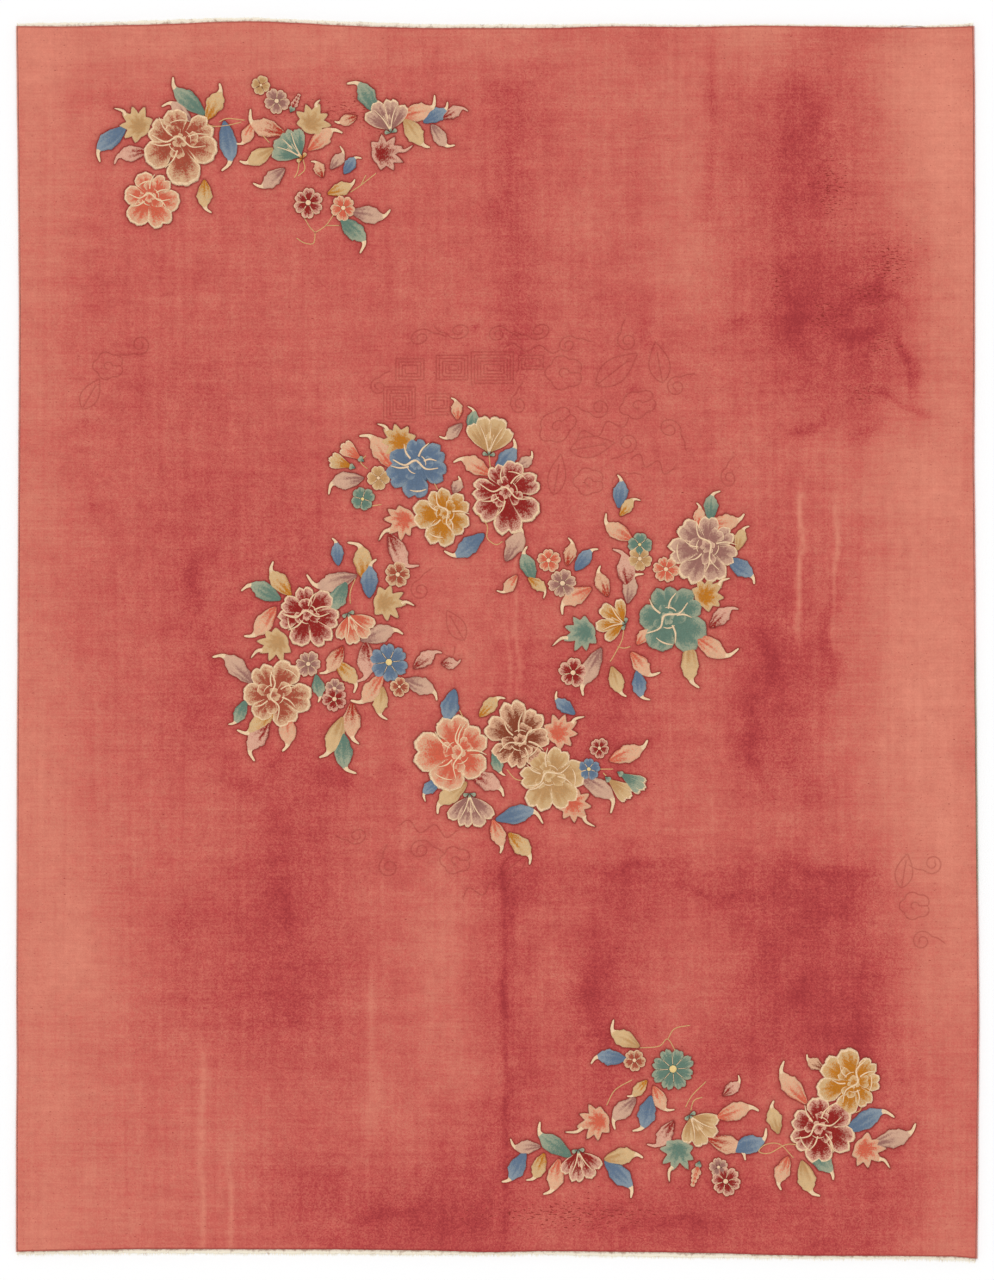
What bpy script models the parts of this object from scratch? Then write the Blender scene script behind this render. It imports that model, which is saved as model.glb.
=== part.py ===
"""Room-size hand-knotted carpet lying flat, pile side up.

Metres, +Z up, +Y along the length. The pile and its foundation are one flat
solid, the sides carry an overcast cord each, and the ends finish in a narrow
web of bare cotton warps. The outline is as uneven as a hand-woven carpet's.
The origin is at the middle of the underside.
"""

import math
from collections import namedtuple

import bmesh
import bpy

# Driving dimensions.
CARPET_WIDTH = 2.739
PILE_LENGTH = 3.493
PILE_THICKNESS = 0.012
SHOULDER = 0.003
SHOULDER_SEGMENTS = 2
CORD_RADIUS = 0.0032
WEB_THICKNESS = 0.0022
GAP = 0.0003
CORD_ROOM = 2.0 * CORD_RADIUS + GAP
STEP = 0.06

# How far each edge strays outwards (+) or inwards (-) from the plain rectangle.
# along_m is measured from the middle of that edge, towards +X or +Y.
EdgeRow = namedtuple("EdgeRow", "along_m out_mm")

TOP_EDGE = (
    EdgeRow(-1.36, 4.0),
    EdgeRow(-1.25, 3.0),
    EdgeRow(-1.05, 7.0),
    EdgeRow(-0.94, 10.0),
    EdgeRow(-0.8, 16.0),
    EdgeRow(-0.69, 18.5),
    EdgeRow(-0.59, 14.0),
    EdgeRow(-0.43, 5.5),
    EdgeRow(-0.32, 1.0),
    EdgeRow(-0.2, -1.5),
    EdgeRow(0.14, -1.5),
    EdgeRow(0.34, 3.5),
    EdgeRow(0.54, 1.5),
    EdgeRow(0.75, 5.5),
    EdgeRow(0.9, 3.5),
    EdgeRow(1.1, 0.5),
    EdgeRow(1.26, 0.5),
    EdgeRow(1.36, 4.0),
)
BOTTOM_EDGE = (
    EdgeRow(-1.36, -1.5),
    EdgeRow(-1.25, -4.5),
    EdgeRow(-1.0, -9.0),
    EdgeRow(-0.48, -8.0),
    EdgeRow(-0.23, -5.5),
    EdgeRow(-0.02, 0.0),
    EdgeRow(0.13, -3.0),
    EdgeRow(0.44, -0.5),
    EdgeRow(0.6, 2.5),
    EdgeRow(0.8, 8.0),
    EdgeRow(0.91, 10.5),
    EdgeRow(1.1, 10.5),
    EdgeRow(1.31, 12.5),
    EdgeRow(1.37, 18.5),
)
LEFT_EDGE = (
    EdgeRow(-1.73, 4.5),
    EdgeRow(-1.43, 4.5),
    EdgeRow(-1.22, 2.5),
    EdgeRow(-1.02, 3.5),
    EdgeRow(-0.6, 2.5),
    EdgeRow(-0.3, 2.0),
    EdgeRow(0.01, 0.0),
    EdgeRow(0.32, -1.5),
    EdgeRow(0.52, -2.5),
    EdgeRow(0.73, -3.5),
    EdgeRow(0.94, -4.0),
    EdgeRow(1.14, -2.5),
    EdgeRow(1.35, -0.5),
    EdgeRow(1.55, 2.0),
    EdgeRow(1.76, 4.0),
)
RIGHT_EDGE = (
    EdgeRow(-1.73, 2.5),
    EdgeRow(-1.63, 4.0),
    EdgeRow(-1.43, 5.0),
    EdgeRow(-1.22, 7.0),
    EdgeRow(-1.07, 8.0),
    EdgeRow(-0.91, 6.5),
    EdgeRow(-0.71, 4.5),
    EdgeRow(-0.5, 2.5),
    EdgeRow(-0.3, 0.5),
    EdgeRow(-0.09, -1.5),
    EdgeRow(0.11, -2.5),
    EdgeRow(0.32, -4.0),
    EdgeRow(0.52, -6.0),
    EdgeRow(0.83, -4.5),
    EdgeRow(1.24, -4.0),
    EdgeRow(1.55, -4.5),
    EdgeRow(1.76, -6.5),
)

# How far each end web reaches beyond the pile.
WebRow = namedtuple("WebRow", "along_m reach_mm")

TOP_WEB = (
    WebRow(-1.36, 9.0),
    WebRow(-1.25, 13.0),
    WebRow(-1.15, 11.0),
    WebRow(-0.94, 14.0),
    WebRow(-0.69, 12.0),
    WebRow(-0.59, 11.0),
    WebRow(-0.43, 13.5),
    WebRow(-0.33, 15.0),
    WebRow(-0.2, 12.5),
    WebRow(0.14, 12.5),
    WebRow(0.29, 9.5),
    WebRow(0.44, 8.5),
    WebRow(0.55, 7.5),
    WebRow(0.75, 4.5),
    WebRow(0.86, 6.0),
    WebRow(1.01, 5.5),
    WebRow(1.11, 8.0),
    WebRow(1.2, 6.0),
    WebRow(1.33, 9.5),
)
BOTTOM_WEB = (
    WebRow(-1.36, 10.0),
    WebRow(-1.2, 12.0),
    WebRow(-1.0, 15.0),
    WebRow(-0.48, 15.5),
    WebRow(-0.25, 16.5),
    WebRow(-0.02, 10.0),
    WebRow(0.13, 11.0),
    WebRow(0.29, 15.5),
    WebRow(0.44, 17.0),
    WebRow(0.6, 16.5),
    WebRow(0.75, 12.0),
    WebRow(0.9, 10.5),
    WebRow(1.26, 10.5),
    WebRow(1.32, 14.0),
    WebRow(1.37, 9.0),
)

# name: (red, green, blue), roughness
FINISHES = {
    "pile_wool": ((0.58, 0.12, 0.11), 0.95),
    "side_cord_wool": ((0.50, 0.24, 0.17), 0.90),
    "end_web_cotton": ((0.78, 0.68, 0.49), 0.95),
}


def eased(rows, along):
    """Value of a two-column table at a place along the edge, eased between rows."""
    if along <= rows[0][0]:
        return rows[0][1] / 1000.0
    for before, after in zip(rows, rows[1:]):
        if along <= after[0]:
            share = (along - before[0]) / (after[0] - before[0])
            share = share * share * (3.0 - 2.0 * share)
            return (before[1] + (after[1] - before[1]) * share) / 1000.0
    return rows[-1][1] / 1000.0


def side_x(sign, y):
    """X of the carpet's outer edge on the left (-1) or right (+1)."""
    rows = RIGHT_EDGE if sign > 0 else LEFT_EDGE
    return sign * (CARPET_WIDTH / 2.0 + eased(rows, y))


def end_y(sign, x):
    """Y of the pile's edge at the bottom (-1) or top (+1) end."""
    rows = TOP_EDGE if sign > 0 else BOTTOM_EDGE
    return sign * (PILE_LENGTH / 2.0 + eased(rows, x))


def web_y(sign, x):
    """Y of the end web's outer edge at the bottom (-1) or top (+1) end."""
    rows = TOP_WEB if sign > 0 else BOTTOM_WEB
    return end_y(sign, x) + sign * eased(rows, x)


def spaced(start, stop):
    """Places from start to stop, about STEP apart, both ends included."""
    count = max(2, math.ceil(abs(stop - start) / STEP))
    return [start + (stop - start) * i / count for i in range(count + 1)]


def end_line(sign, edge):
    """Points of one end of the pile, from the left side to the right."""
    y = sign * PILE_LENGTH / 2.0
    left = side_x(-1, y) + CORD_ROOM
    right = side_x(1, y) - CORD_ROOM
    return [(x, edge(sign, x)) for x in spaced(left, right)]


def widened(line):
    """The same line, run on past both ends as far as the side cords reach."""
    (left, low), (right, high) = line[0], line[-1]
    return [(left - CORD_ROOM, low)] + line + [(right + CORD_ROOM, high)]


def side_line(sign, inset):
    """Points of one side, from the bottom end to the top, inset from the edge."""
    reach = side_x(sign, 0.0) - sign * inset
    low = end_y(-1, reach)
    high = end_y(1, reach)
    return [(side_x(sign, y) - sign * inset, y) for y in spaced(low, high)]


def pile_outline():
    """Closed outline of the pile, between the two side cords."""
    bottom = end_line(-1, end_y)
    right = side_line(1, CORD_ROOM)[1:-1]
    top = end_line(1, end_y)[::-1]
    left = side_line(-1, CORD_ROOM)[::-1][1:-1]
    return bottom + right + top + left


def web_outline(sign):
    """Closed outline of the bare strip at one end, just clear of the pile."""
    inner = widened([(x, y + sign * GAP) for x, y in end_line(sign, end_y)])
    outer = widened(end_line(sign, web_y))
    return inner + outer[::-1]


def wool(name):
    """A plain matt material from the table of finishes."""
    colour, roughness = FINISHES[name]
    material = bpy.data.materials.new(name)
    material.use_nodes = True
    shader = material.node_tree.nodes["Principled BSDF"]
    shader.inputs["Base Color"].default_value = (*colour, 1.0)
    shader.inputs["Roughness"].default_value = roughness
    shader.inputs["Metallic"].default_value = 0.0
    material.diffuse_color = (*colour, 1.0)
    return material


def poly_curve(name, points, dimensions, closed):
    """A curve through straight runs, with z 0 where a point has only x and y."""
    curve = bpy.data.curves.new(name, "CURVE")
    curve.dimensions = dimensions
    spline = curve.splines.new("POLY")
    spline.points.add(len(points) - 1)
    for target, point in zip(spline.points, points):
        x, y, z = (*point, 0.0)[:3]
        target.co = (x, y, z, 1.0)
    spline.use_cyclic_u = closed
    return curve


def place(name, data, finish, collection, origin, z):
    """Put one piece in the collection, at its height over the underside."""
    piece = bpy.data.objects.new(name, data)
    data.materials.append(wool(finish))
    piece.location = (0.0, 0.0, z)
    piece.parent = origin
    collection.objects.link(piece)
    return piece


def flat_piece(name, outline, thickness, finish, collection, origin):
    """A flat piece cut to an outline, its underside at z 0."""
    curve = poly_curve(name, outline, "2D", closed=True)
    curve.fill_mode = "BOTH"
    curve.extrude = thickness / 2.0
    return place(name, curve, finish, collection, origin, thickness / 2.0)


def rounded_pile(collection, origin):
    """The pile with its foundation: flat below, its upper edge rounded over."""
    blank = flat_piece("pile_blank", pile_outline(), PILE_THICKNESS, "pile_wool",
                       collection, origin)
    bpy.context.view_layer.update()
    evaluated = blank.evaluated_get(bpy.context.evaluated_depsgraph_get())
    mesh = bpy.data.meshes.new_from_object(evaluated)
    bpy.data.objects.remove(blank)
    solid = bmesh.new()
    solid.from_mesh(mesh)
    bmesh.ops.remove_doubles(solid, verts=solid.verts, dist=0.00001)
    bmesh.ops.recalc_face_normals(solid, faces=solid.faces)
    upper = PILE_THICKNESS / 2.0 - 0.0001
    rim = [edge for edge in solid.edges
           if all(v.co.z > upper for v in edge.verts)
           and any(abs(f.normal.z) < 0.5 for f in edge.link_faces)]
    bmesh.ops.bevel(solid, geom=rim, offset=SHOULDER, offset_type="OFFSET",
                    segments=SHOULDER_SEGMENTS, profile=0.5, affect="EDGES")
    solid.to_mesh(mesh)
    solid.free()
    mesh.name = "pile"
    mesh.materials.clear()
    return place("pile", mesh, "pile_wool", collection, origin, PILE_THICKNESS / 2.0)


def side_cord(name, sign, collection, origin):
    """The overcast cord along one side, lying on the surface beside the pile."""
    route = [(x, y, 0.0) for x, y in side_line(sign, CORD_RADIUS)]
    curve = poly_curve(name, route, "3D", closed=False)
    curve.bevel_depth = CORD_RADIUS
    curve.bevel_resolution = 2
    curve.use_fill_caps = True
    return place(name, curve, "side_cord_wool", collection, origin, CORD_RADIUS)


def middle_of_box():
    """Middle of the whole carpet's box, worked out along its four edges."""
    along = spaced(-CARPET_WIDTH / 2.0, CARPET_WIDTH / 2.0)
    up = spaced(-PILE_LENGTH / 2.0, PILE_LENGTH / 2.0)
    left = min(side_x(-1, y) for y in up)
    right = max(side_x(1, y) for y in up)
    low = min(web_y(-1, x) for x in along)
    high = max(web_y(1, x) for x in along)
    return (left + right) / 2.0, (low + high) / 2.0


def main():
    """Clear the file's objects and model the carpet."""
    for item in list(bpy.data.objects):
        bpy.data.objects.remove(item)
    collection = bpy.data.collections.new("chinese_art_deco_rug")
    bpy.context.scene.collection.children.link(collection)
    middle_x, middle_y = middle_of_box()
    origin = bpy.data.objects.new("underside_middle", None)
    origin.location = (-middle_x, -middle_y, 0.0)
    collection.objects.link(origin)
    rounded_pile(collection, origin)
    side_cord("left_side_cord", -1, collection, origin)
    side_cord("right_side_cord", 1, collection, origin)
    for name, sign in (("bottom_end_web", -1), ("top_end_web", 1)):
        flat_piece(name, web_outline(sign), WEB_THICKNESS, "end_web_cotton",
                   collection, origin)


main()
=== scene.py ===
"""Looks of a room-size Chinese art deco carpet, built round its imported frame.

The pile is one carved sheet with its flowers worked a little proud of it, the
sides are overcast with wool and the ends finish in a web of bare cotton warps.
Lengths are in metres, apart from the layout tables, which are in centimetres
from the middle of the carpet, +x to the right and +y towards the top end.
"""

import math
from functools import lru_cache

import bpy
import numpy as np
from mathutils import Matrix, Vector, geometry, kdtree


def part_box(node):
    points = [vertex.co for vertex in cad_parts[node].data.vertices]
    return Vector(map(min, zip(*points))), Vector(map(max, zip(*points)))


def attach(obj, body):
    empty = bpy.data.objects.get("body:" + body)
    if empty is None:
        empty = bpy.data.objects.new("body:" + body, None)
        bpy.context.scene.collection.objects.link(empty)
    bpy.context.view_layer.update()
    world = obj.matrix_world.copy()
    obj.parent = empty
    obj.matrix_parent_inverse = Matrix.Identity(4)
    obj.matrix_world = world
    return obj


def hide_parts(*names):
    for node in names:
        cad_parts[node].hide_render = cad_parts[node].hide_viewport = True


bl_info = {
    "name": "Chinese Art Deco Carpet",
    "version": (1, 0, 0),
    "blender": (4, 5, 0),
    "location": "3D View > Sidebar > Carpet",
    "description": "Knotted pile, flower sprays, overcast sides and cotton end webs of a carpet",
    "category": "Object",
}

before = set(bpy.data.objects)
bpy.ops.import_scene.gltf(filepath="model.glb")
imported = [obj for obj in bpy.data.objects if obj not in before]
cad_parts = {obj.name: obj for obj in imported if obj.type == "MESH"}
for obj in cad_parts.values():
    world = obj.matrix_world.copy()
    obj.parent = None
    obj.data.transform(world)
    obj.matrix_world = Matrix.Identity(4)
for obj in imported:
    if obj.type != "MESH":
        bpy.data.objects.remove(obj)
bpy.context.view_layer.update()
PILE_LOW, PILE_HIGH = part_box("pile")
BODY = "root"

# ---------------------------------------------------------------- dyes

# Colours of the dyed wools as they look now, worn and a little faded.
DYES = {
    "cream": "#EBCAA4",
    "ochre": "#B9721F",
    "tan": "#B98C5C",
    "straw": "#D6B283",
    "coral": "#CC5F47",
    "peach": "#DFAF8C",
    "pink": "#DCA890",
    "crimson": "#8E2420",
    "red": "#A83426",
    "rose": "#D2A88E",
    "mauve": "#98685E",
    "leafgreen": "#A3A68C",
    "teal": "#627B6C",
    "sky": "#8A96A0",
    "blue": "#5E7086",
    "brown": "#84402A",
    "rust": "#A34C38",
    "buff": "#DAB18A",
    "stem": "#D3A471",
    "eye": "#E9C987",
}

# How each motif's wool is shaded: edge colour, colour at its heart, and its tips and rims.
SHADES = {
    "russet": ("buff", "rust", "cream"),
    "coral": ("peach", "coral", "cream"),
    "tan": ("straw", "tan", "cream"),
    "gold": ("straw", "tan", "cream"),
    "ochre": ("straw", "ochre", "cream"),
    "pink": ("pink", "crimson", "pink"),
    "red": ("peach", "red", "cream"),
    "crimson": ("pink", "crimson", "cream"),
    "mauve": ("rose", "mauve", "cream"),
    "teal": ("leafgreen", "teal", "cream"),
    "blue": ("sky", "blue", "cream"),
    "brown": ("peach", "brown", "cream"),
    "cream": ("cream", "tan", "cream"),
    "stem": ("stem", "tan", "stem"),
    "eye": ("eye", "ochre", "eye"),
}
PLAIN_BODY = ("teal", "blue")

# ---------------------------------------------------------------- layout

# kind, dye, x, y, then: tip x and tip y of a leaf, bud or side-on flower (and its
# width), or the width of an open flower. A stem is a run of x, y places.
CORNER_TOP = """
peony russet -90 140.5 21.5
peony coral -98.5 125 16.5
maple tan -102.5 146.5 -109.5 151.5
leaf blue -109 142.5 -114 136.5
leaf pink -103.5 138 -109.5 136
leaf mauve -90.5 149.5 -95.5 152.5
leaf teal -87 153.5 -93 160
leaf ochre -81.5 152 -79 158.5
leaf blue -78 142.5 -78 133.5
leaf ochre -83 127.5 -82 121.5
blossom4 tan -67.5 158 5.5
blossom5 mauve -63 153.5 7.5
spike pink -59 150.5 -56.5 155.5
leaf red -64.5 146.5 -71 150.5
leaf coral -71.5 145 -74.5 141
maple tan -53 147.5 -50.5 154
side teal -56 137.5 -62.5 144 11
leaf tan -67.5 138.5 -73.5 136
leaf mauve -64 132.5 -69.5 129.5
leaf coral -50.5 141.5 -44.5 145
leaf mauve -46.5 136.5 -44.5 140.5
leaf red -51 133.5 -53 136.5
leaf blue -42 134.5 -39 137.5
leaf ochre -45.5 128.5 -40.5 131
blossom6 crimson -54 124.5 9
blossom5 coral -44 123 7.5
leaf mauve -37.5 122 -30.5 122
leaf teal -42.5 116.5 -38.5 110.5
side mauve -30.5 145 -32.5 154 12.5
leaf teal -37.5 153.5 -42.5 159
leaf red -42.5 148.5 -46.5 147.5
leaf coral -24 151 -17.5 154.5
leaf blue -18.5 149.5 -14 153
leaf pink -13 149.5 -8.5 151
leaf mauve -16.5 144.5 -12.5 140.5
leaf gold -24 145.5 -19.5 140
maple pink -32.5 138.5 -24 141
stem cream -85 149.5 -82 146.5 -77.5 146.5 -73 147.5
stem cream -79.5 147.5 -77 148.5 -72 148
stem cream -86 145.5 -81.5 145.5 -83.5 143.5
stem cream -68.5 145.5 -65 141.5
stem cream -55 120 -53.5 117.5 -52 116
stem cream -52 116 -49 118 -46.5 121.5
stem cream -49 118 -45 118
stem cream -52 116 -52.5 113 -55 113 -57.5 114.5
stem cream -42 127.5 -39 129.5 -34.5 133
stem cream -39 129.5 -37.5 132.5
stem cream -56.5 137 -57 133.5 -58 131.5
stem cream -55.5 137 -55 134 -57 132
"""
WREATH_TOP = """
bud coral -38.5 51 -44.5 55.5
bud ochre -41 49 -48 51.5
leaf coral -33.5 52.5 -39 58.5
maple ochre -28 56.5 -34.5 61.5
leaf mauve -42 44.5 -48.5 42
blossom4 tan -34 46 7
blossom4 teal -38.5 40 7
peony blue -23 48.5 18
leaf coral -12 65 -13 69
leaf teal -8 62 -8 66.5
leaf mauve -12.5 60 -16.5 57.5
peony ochre -16 35 17
leaf mauve -12 43.5 -11 46.5
maple coral -27 34 -34 28
leaf pink -28 26.5 -23 20.5
leaf blue -8 28 -15 24.5
side gold -2.5 53 -1.5 63.5 13
peony crimson 3 40.5 21
leaf blue 1.5 51 5 57
leaf mauve 7 50.5 10 53.5
leaf coral -6 48.5 -12.5 51
leaf mauve 3.5 26.5 5.5 33.5
leaf teal 9.5 20.5 8 26.5
leaf coral 3.5 16.5 0 13.5
leaf ochre 10.5 15.5 13.5 12
blossom5 coral 14.5 22.5 7
blossom6 mauve 18.5 16 8.5
leaf red 20 24 20.5 29
leaf blue 24.5 22 28.5 26
leaf coral 23.5 12 18 7.5
blossom5 russet -28.5 18.5 7.5
stem cream -2.5 53 -2 48
stem cream -6 36 -3 32.5 -3 29 -0.5 27 1.5 28
stem cream -19 46.5 -18 44.5 -17 42.5
stem cream -37.5 52.5 -39 50.5 -37 48.5
stem cream -36 38 -33 38.5
"""
WREATH_RIGHT = """
leaf blue 34.5 41 34.5 47
leaf ochre 37 37 40.5 40
leaf coral 35.5 31 30.5 35.5
blossom4 teal 40.5 27 7
blossom5 gold 40.5 23 7
blossom6 coral 48 20 7.5
leaf pink 36 18.5 33.5 26
leaf red 30.5 15.5 29 21
leaf mauve 38.5 13.5 41 19
leaf gold 69.5 28 71.5 32.5
peony mauve 58.5 25.5 21
leaf teal 61.5 37 63 42.5
leaf coral 57 34.5 57 39
leaf coral 64 33.5 70.5 35.5
leaf blue 68.5 20.5 73.5 16
maple ochre 59.5 12.5 66.5 17.5
peony teal 50 5.5 20
leaf pink 63.5 5.5 68.5 9
leaf coral 60.5 -0.5 68.5 -3.5
leaf tan 55.5 -6 57 -14
side ochre 36 4.5 28.5 7 14.5
maple teal 24.5 2 15.5 -2
leaf coral 41.5 0 44.5 2.5
leaf coral 41 -6 46 -10
leaf blue 41 -12 43 -17.5
leaf tan 34 -11 36.5 -16.5
leaf mauve 27.5 -7.5 24 -16
blossom5 crimson 21.5 -9.5 8.5
leaf blue 20 -19 16.5 -15
stem cream 36 4 35.5 0 33.5 -4 32 -6.5
stem cream 34 -2 36 -2.5 38 -2
stem cream 43 2 45 4 46.5 3.5
"""
WREATH_LEFT = """
leaf blue -46 24 -47 29
leaf ochre -39.5 21 -42 28
leaf blue -36 16 -35 23
leaf mauve -45.5 18 -54.5 17.5
leaf ochre -61 16 -64.5 22
leaf teal -66 12.5 -73 14.5
peony crimson -53.5 6 18
leaf teal -45.5 13 -49.5 7
side coral -42.5 7 -39 -1 12.5
maple gold -32 10.5 -23.5 9.5
leaf coral -66.5 6 -72 0.5
maple gold -63 -1 -70.5 -5.5
leaf mauve -74 -9.5 -81 -4.5
peony russet -62.5 -15 19.5
blossom6 mauve -54 -7 7.5
leaf teal -51.5 -13 -51 -18
blossom5 pink -46.5 -17 7.5
blossom5 mauve -46.5 -14 6
leaf red -46.5 -5 -50.5 -10
leaf ochre -44 -9.5 -40.5 -15
leaf pink -38.5 -5 -40 -12.5
leaf mauve -34.5 0.5 -27 2
blossom6 blue -31 -6.5 11
blossom4 russet -28 -13.5 6
leaf coral -36 -13 -41.5 -18
leaf gold -32.5 -17 -32 -23
leaf teal -73.5 -20 -76.5 -24.5
leaf ochre -67.5 -22.5 -74 -26.5
leaf crimson -67 -27.5 -70 -34.5
leaf coral -60.5 -25 -61 -32
leaf red -41 -22.5 -40 -30
leaf gold -46.5 -26.5 -50.5 -34
leaf teal -43 -31 -41 -38.5
leaf pink -21 -6.5 -16 -3.5
leaf pink -14 -6.5 -10.5 -6
leaf mauve -23 -13.5 -17 -17
stem cream -40.5 17.5 -42 13.5 -42 10
"""
WREATH_BOTTOM = """
leaf blue -14 -18 -17 -24.5
peony coral -13 -32.5 21.5
leaf ochre -2.5 -20 2 -16.5
peony brown 5.5 -27.5 19.5
maple coral 17.5 -26.5 25 -22
leaf teal 0 -34.5 2 -39
peony gold 15.5 -40 19
blossom5 blue 26 -37 6.5
blossom5 crimson 29 -31 6
leaf coral 36 -32.5 43 -29
bud gold 31 -39.5 38 -45
bud teal 34.5 -38 42 -42.5
leaf mauve 27 -42.5 33 -49
maple coral 21.5 -47 28 -53.5
leaf blue -18 -42 -21 -46
leaf gold -12 -44 -17.5 -49.5
leaf crimson -4 -40.5 2 -44.5
side mauve -8 -44.5 -7.5 -54 13
leaf coral -0.5 -55 1 -61
leaf blue 4.5 -51.5 13 -51.5
leaf ochre 5.5 -58.5 9.5 -64
stem cream -11 -20 -8.5 -24.5 -4.5 -27.5
stem cream -8.5 -25.5 -7.5 -26.5
stem cream 2.5 -37 5.5 -40 10.5 -40
stem cream 29 -37 31.5 -37 33 -37
stem cream 30 -38 31 -39
"""
CORNER_BOTTOM = """
leaf tan 37.5 -113.5 32.5 -109
leaf blue 33 -120 26.5 -120.5
blossom5 russet 39 -120 6.5
blossom8 teal 50 -122.5 12.5
leaf ochre 40.5 -127.5 37 -130.5
leaf coral 46.5 -130 50 -134.5
leaf blue 42 -134 39 -140.5
leaf mauve 37 -134 33 -139.5
maple coral 28.5 -137.5 19 -140.5
leaf crimson 66 -128 69 -124.5
side gold 55 -136 60.5 -143.5 13
leaf pink 47.5 -140 43 -144.5
leaf coral 67 -135.5 74.5 -134
maple teal 51.5 -146 49 -155
spike coral 57.5 -149 55.5 -156
blossom5 mauve 63 -150.5 5.5
blossom6 crimson 65 -154.5 8.5
leaf red 64 -144.5 71 -148
leaf blue 70.5 -143.5 77 -140
leaf mauve 9 -144 3.5 -143
leaf teal 17.5 -144 11.5 -138
leaf blue 5.5 -149.5 1.5 -155
leaf ochre 11.5 -149.5 8.5 -154.5
leaf coral 16 -152 13.5 -158.5
side crimson 23 -146 24.5 -154.5 12.5
leaf gold 34.5 -148 41.5 -147.5
leaf blue 33.5 -152.5 38.5 -159
peony ochre 100 -126 19
leaf brown 91 -121 88 -118.5
leaf coral 85.5 -128 81 -120.5
leaf gold 79.5 -137.5 78.5 -131.5
peony crimson 93 -140 20
leaf blue 104.5 -138.5 113 -135.5
leaf mauve 111.5 -142 119.5 -138.5
maple coral 105 -145.5 112 -151
leaf teal 91.5 -148.5 96 -154
leaf coral 82 -151 80.5 -157
leaf gold 88.5 -152.5 91.5 -159
stem cream 40.5 -116.5 46 -116 48.5 -114 51 -118
stem cream 48.5 -114 50.5 -111 55 -110
stem cream 31 -133 33.5 -128.5 38.5 -125.5
stem cream 53.5 -133.5 55.5 -130 59.5 -126
stem cream 55 -134.5 56 -131.5 58.5 -130.5
stem cream 84.5 -148 80.5 -144 76.5 -144 74.5 -146 77.5 -146.5 82.5 -144 87 -144.5
stem cream 104 -130.5 103.5 -134 102 -135
"""
SPRAYS = {
    "corner_top": CORNER_TOP,
    "wreath_top": WREATH_TOP,
    "wreath_right": WREATH_RIGHT,
    "wreath_left": WREATH_LEFT,
    "wreath_bottom": WREATH_BOTTOM,
    "corner_bottom": CORNER_BOTTOM,
}


# Broad changes of tone in the field, where one dyeing of the wool gives way to another
# or the pile is worn: the four sides, how soft they are, and the tone (+1 the deepest
# rose, -1 the palest salmon).
FIELD_TONES = """
left right low high soft tone
116 143 -182 182 9 -0.55
109 143 128 182 11 -0.35
101 126 -63 60 11 -0.3
112 143 -171 -103 11 0.3
95 128 40 58 7 -0.25
71 105 68 163 9 0.18
79 91 118 144 6 0.2
82 116 67 110 8 0.22
98 127 56 104 9 0.24
108 124 30 62 9 0.25
101 122 68 118 9 0.12
81 90 83 107 4 0.22
58 84 163 182 6 -0.4
45 58 97 171 6 -0.3
24 35 114 171 4 -0.16
-142 -33 162 182 8 -0.42
-33 35 166 182 7 -0.25
-142 -126 -182 182 9 -0.4
-142 -105 -182 -23 11 -0.24
-136 -110 -103 -87 6 -0.25
-142 -110 120 182 11 -0.18
-95 -70 -23 34 10 0.24
-107 -70 23 86 11 0.14
-69 -48 11 46 7 0.25
-96 -68 -120 -74 9 0.24
-70 -43 -120 -26 9 0.4
-93 -76 -29 -14 6 0.28
-69 -42 -167 -144 7 0.26
-1 11 71 165 4 0.3
-1 11 -23 23 5 0.2
-2 11 -182 -51 6 0.32
22 34 -134 -86 6 0.52
32 44 -120 -63 6 0.28
12 44 -43 -6 7 0.28
-48 -5 -182 -154 7 0.42
1 115 -75 -63 5 0.30
18 115 -182 -154 9 0.36
68 106 -125 -66 7 0.42
98 116 -123 -86 6 0.28
69 92 -43 6 6 0.45
69 91 6 29 6 0.25
58 70 -165 -108 6 0.28
81 101 -84 -71 3 0.16
106 123 -160 -123 9 0.34
-16 1 -182 -131 6 0.22
-22 -10 -134 -71 5 -0.2
41 66 -63 -40 5 -0.08
-105 -67 -182 -124 9 -0.16
-22 -2 -14 34 7 -0.15
41 69 40 68 7 -0.06
-45 -5 -120 -74 7 -0.04
"""

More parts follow.
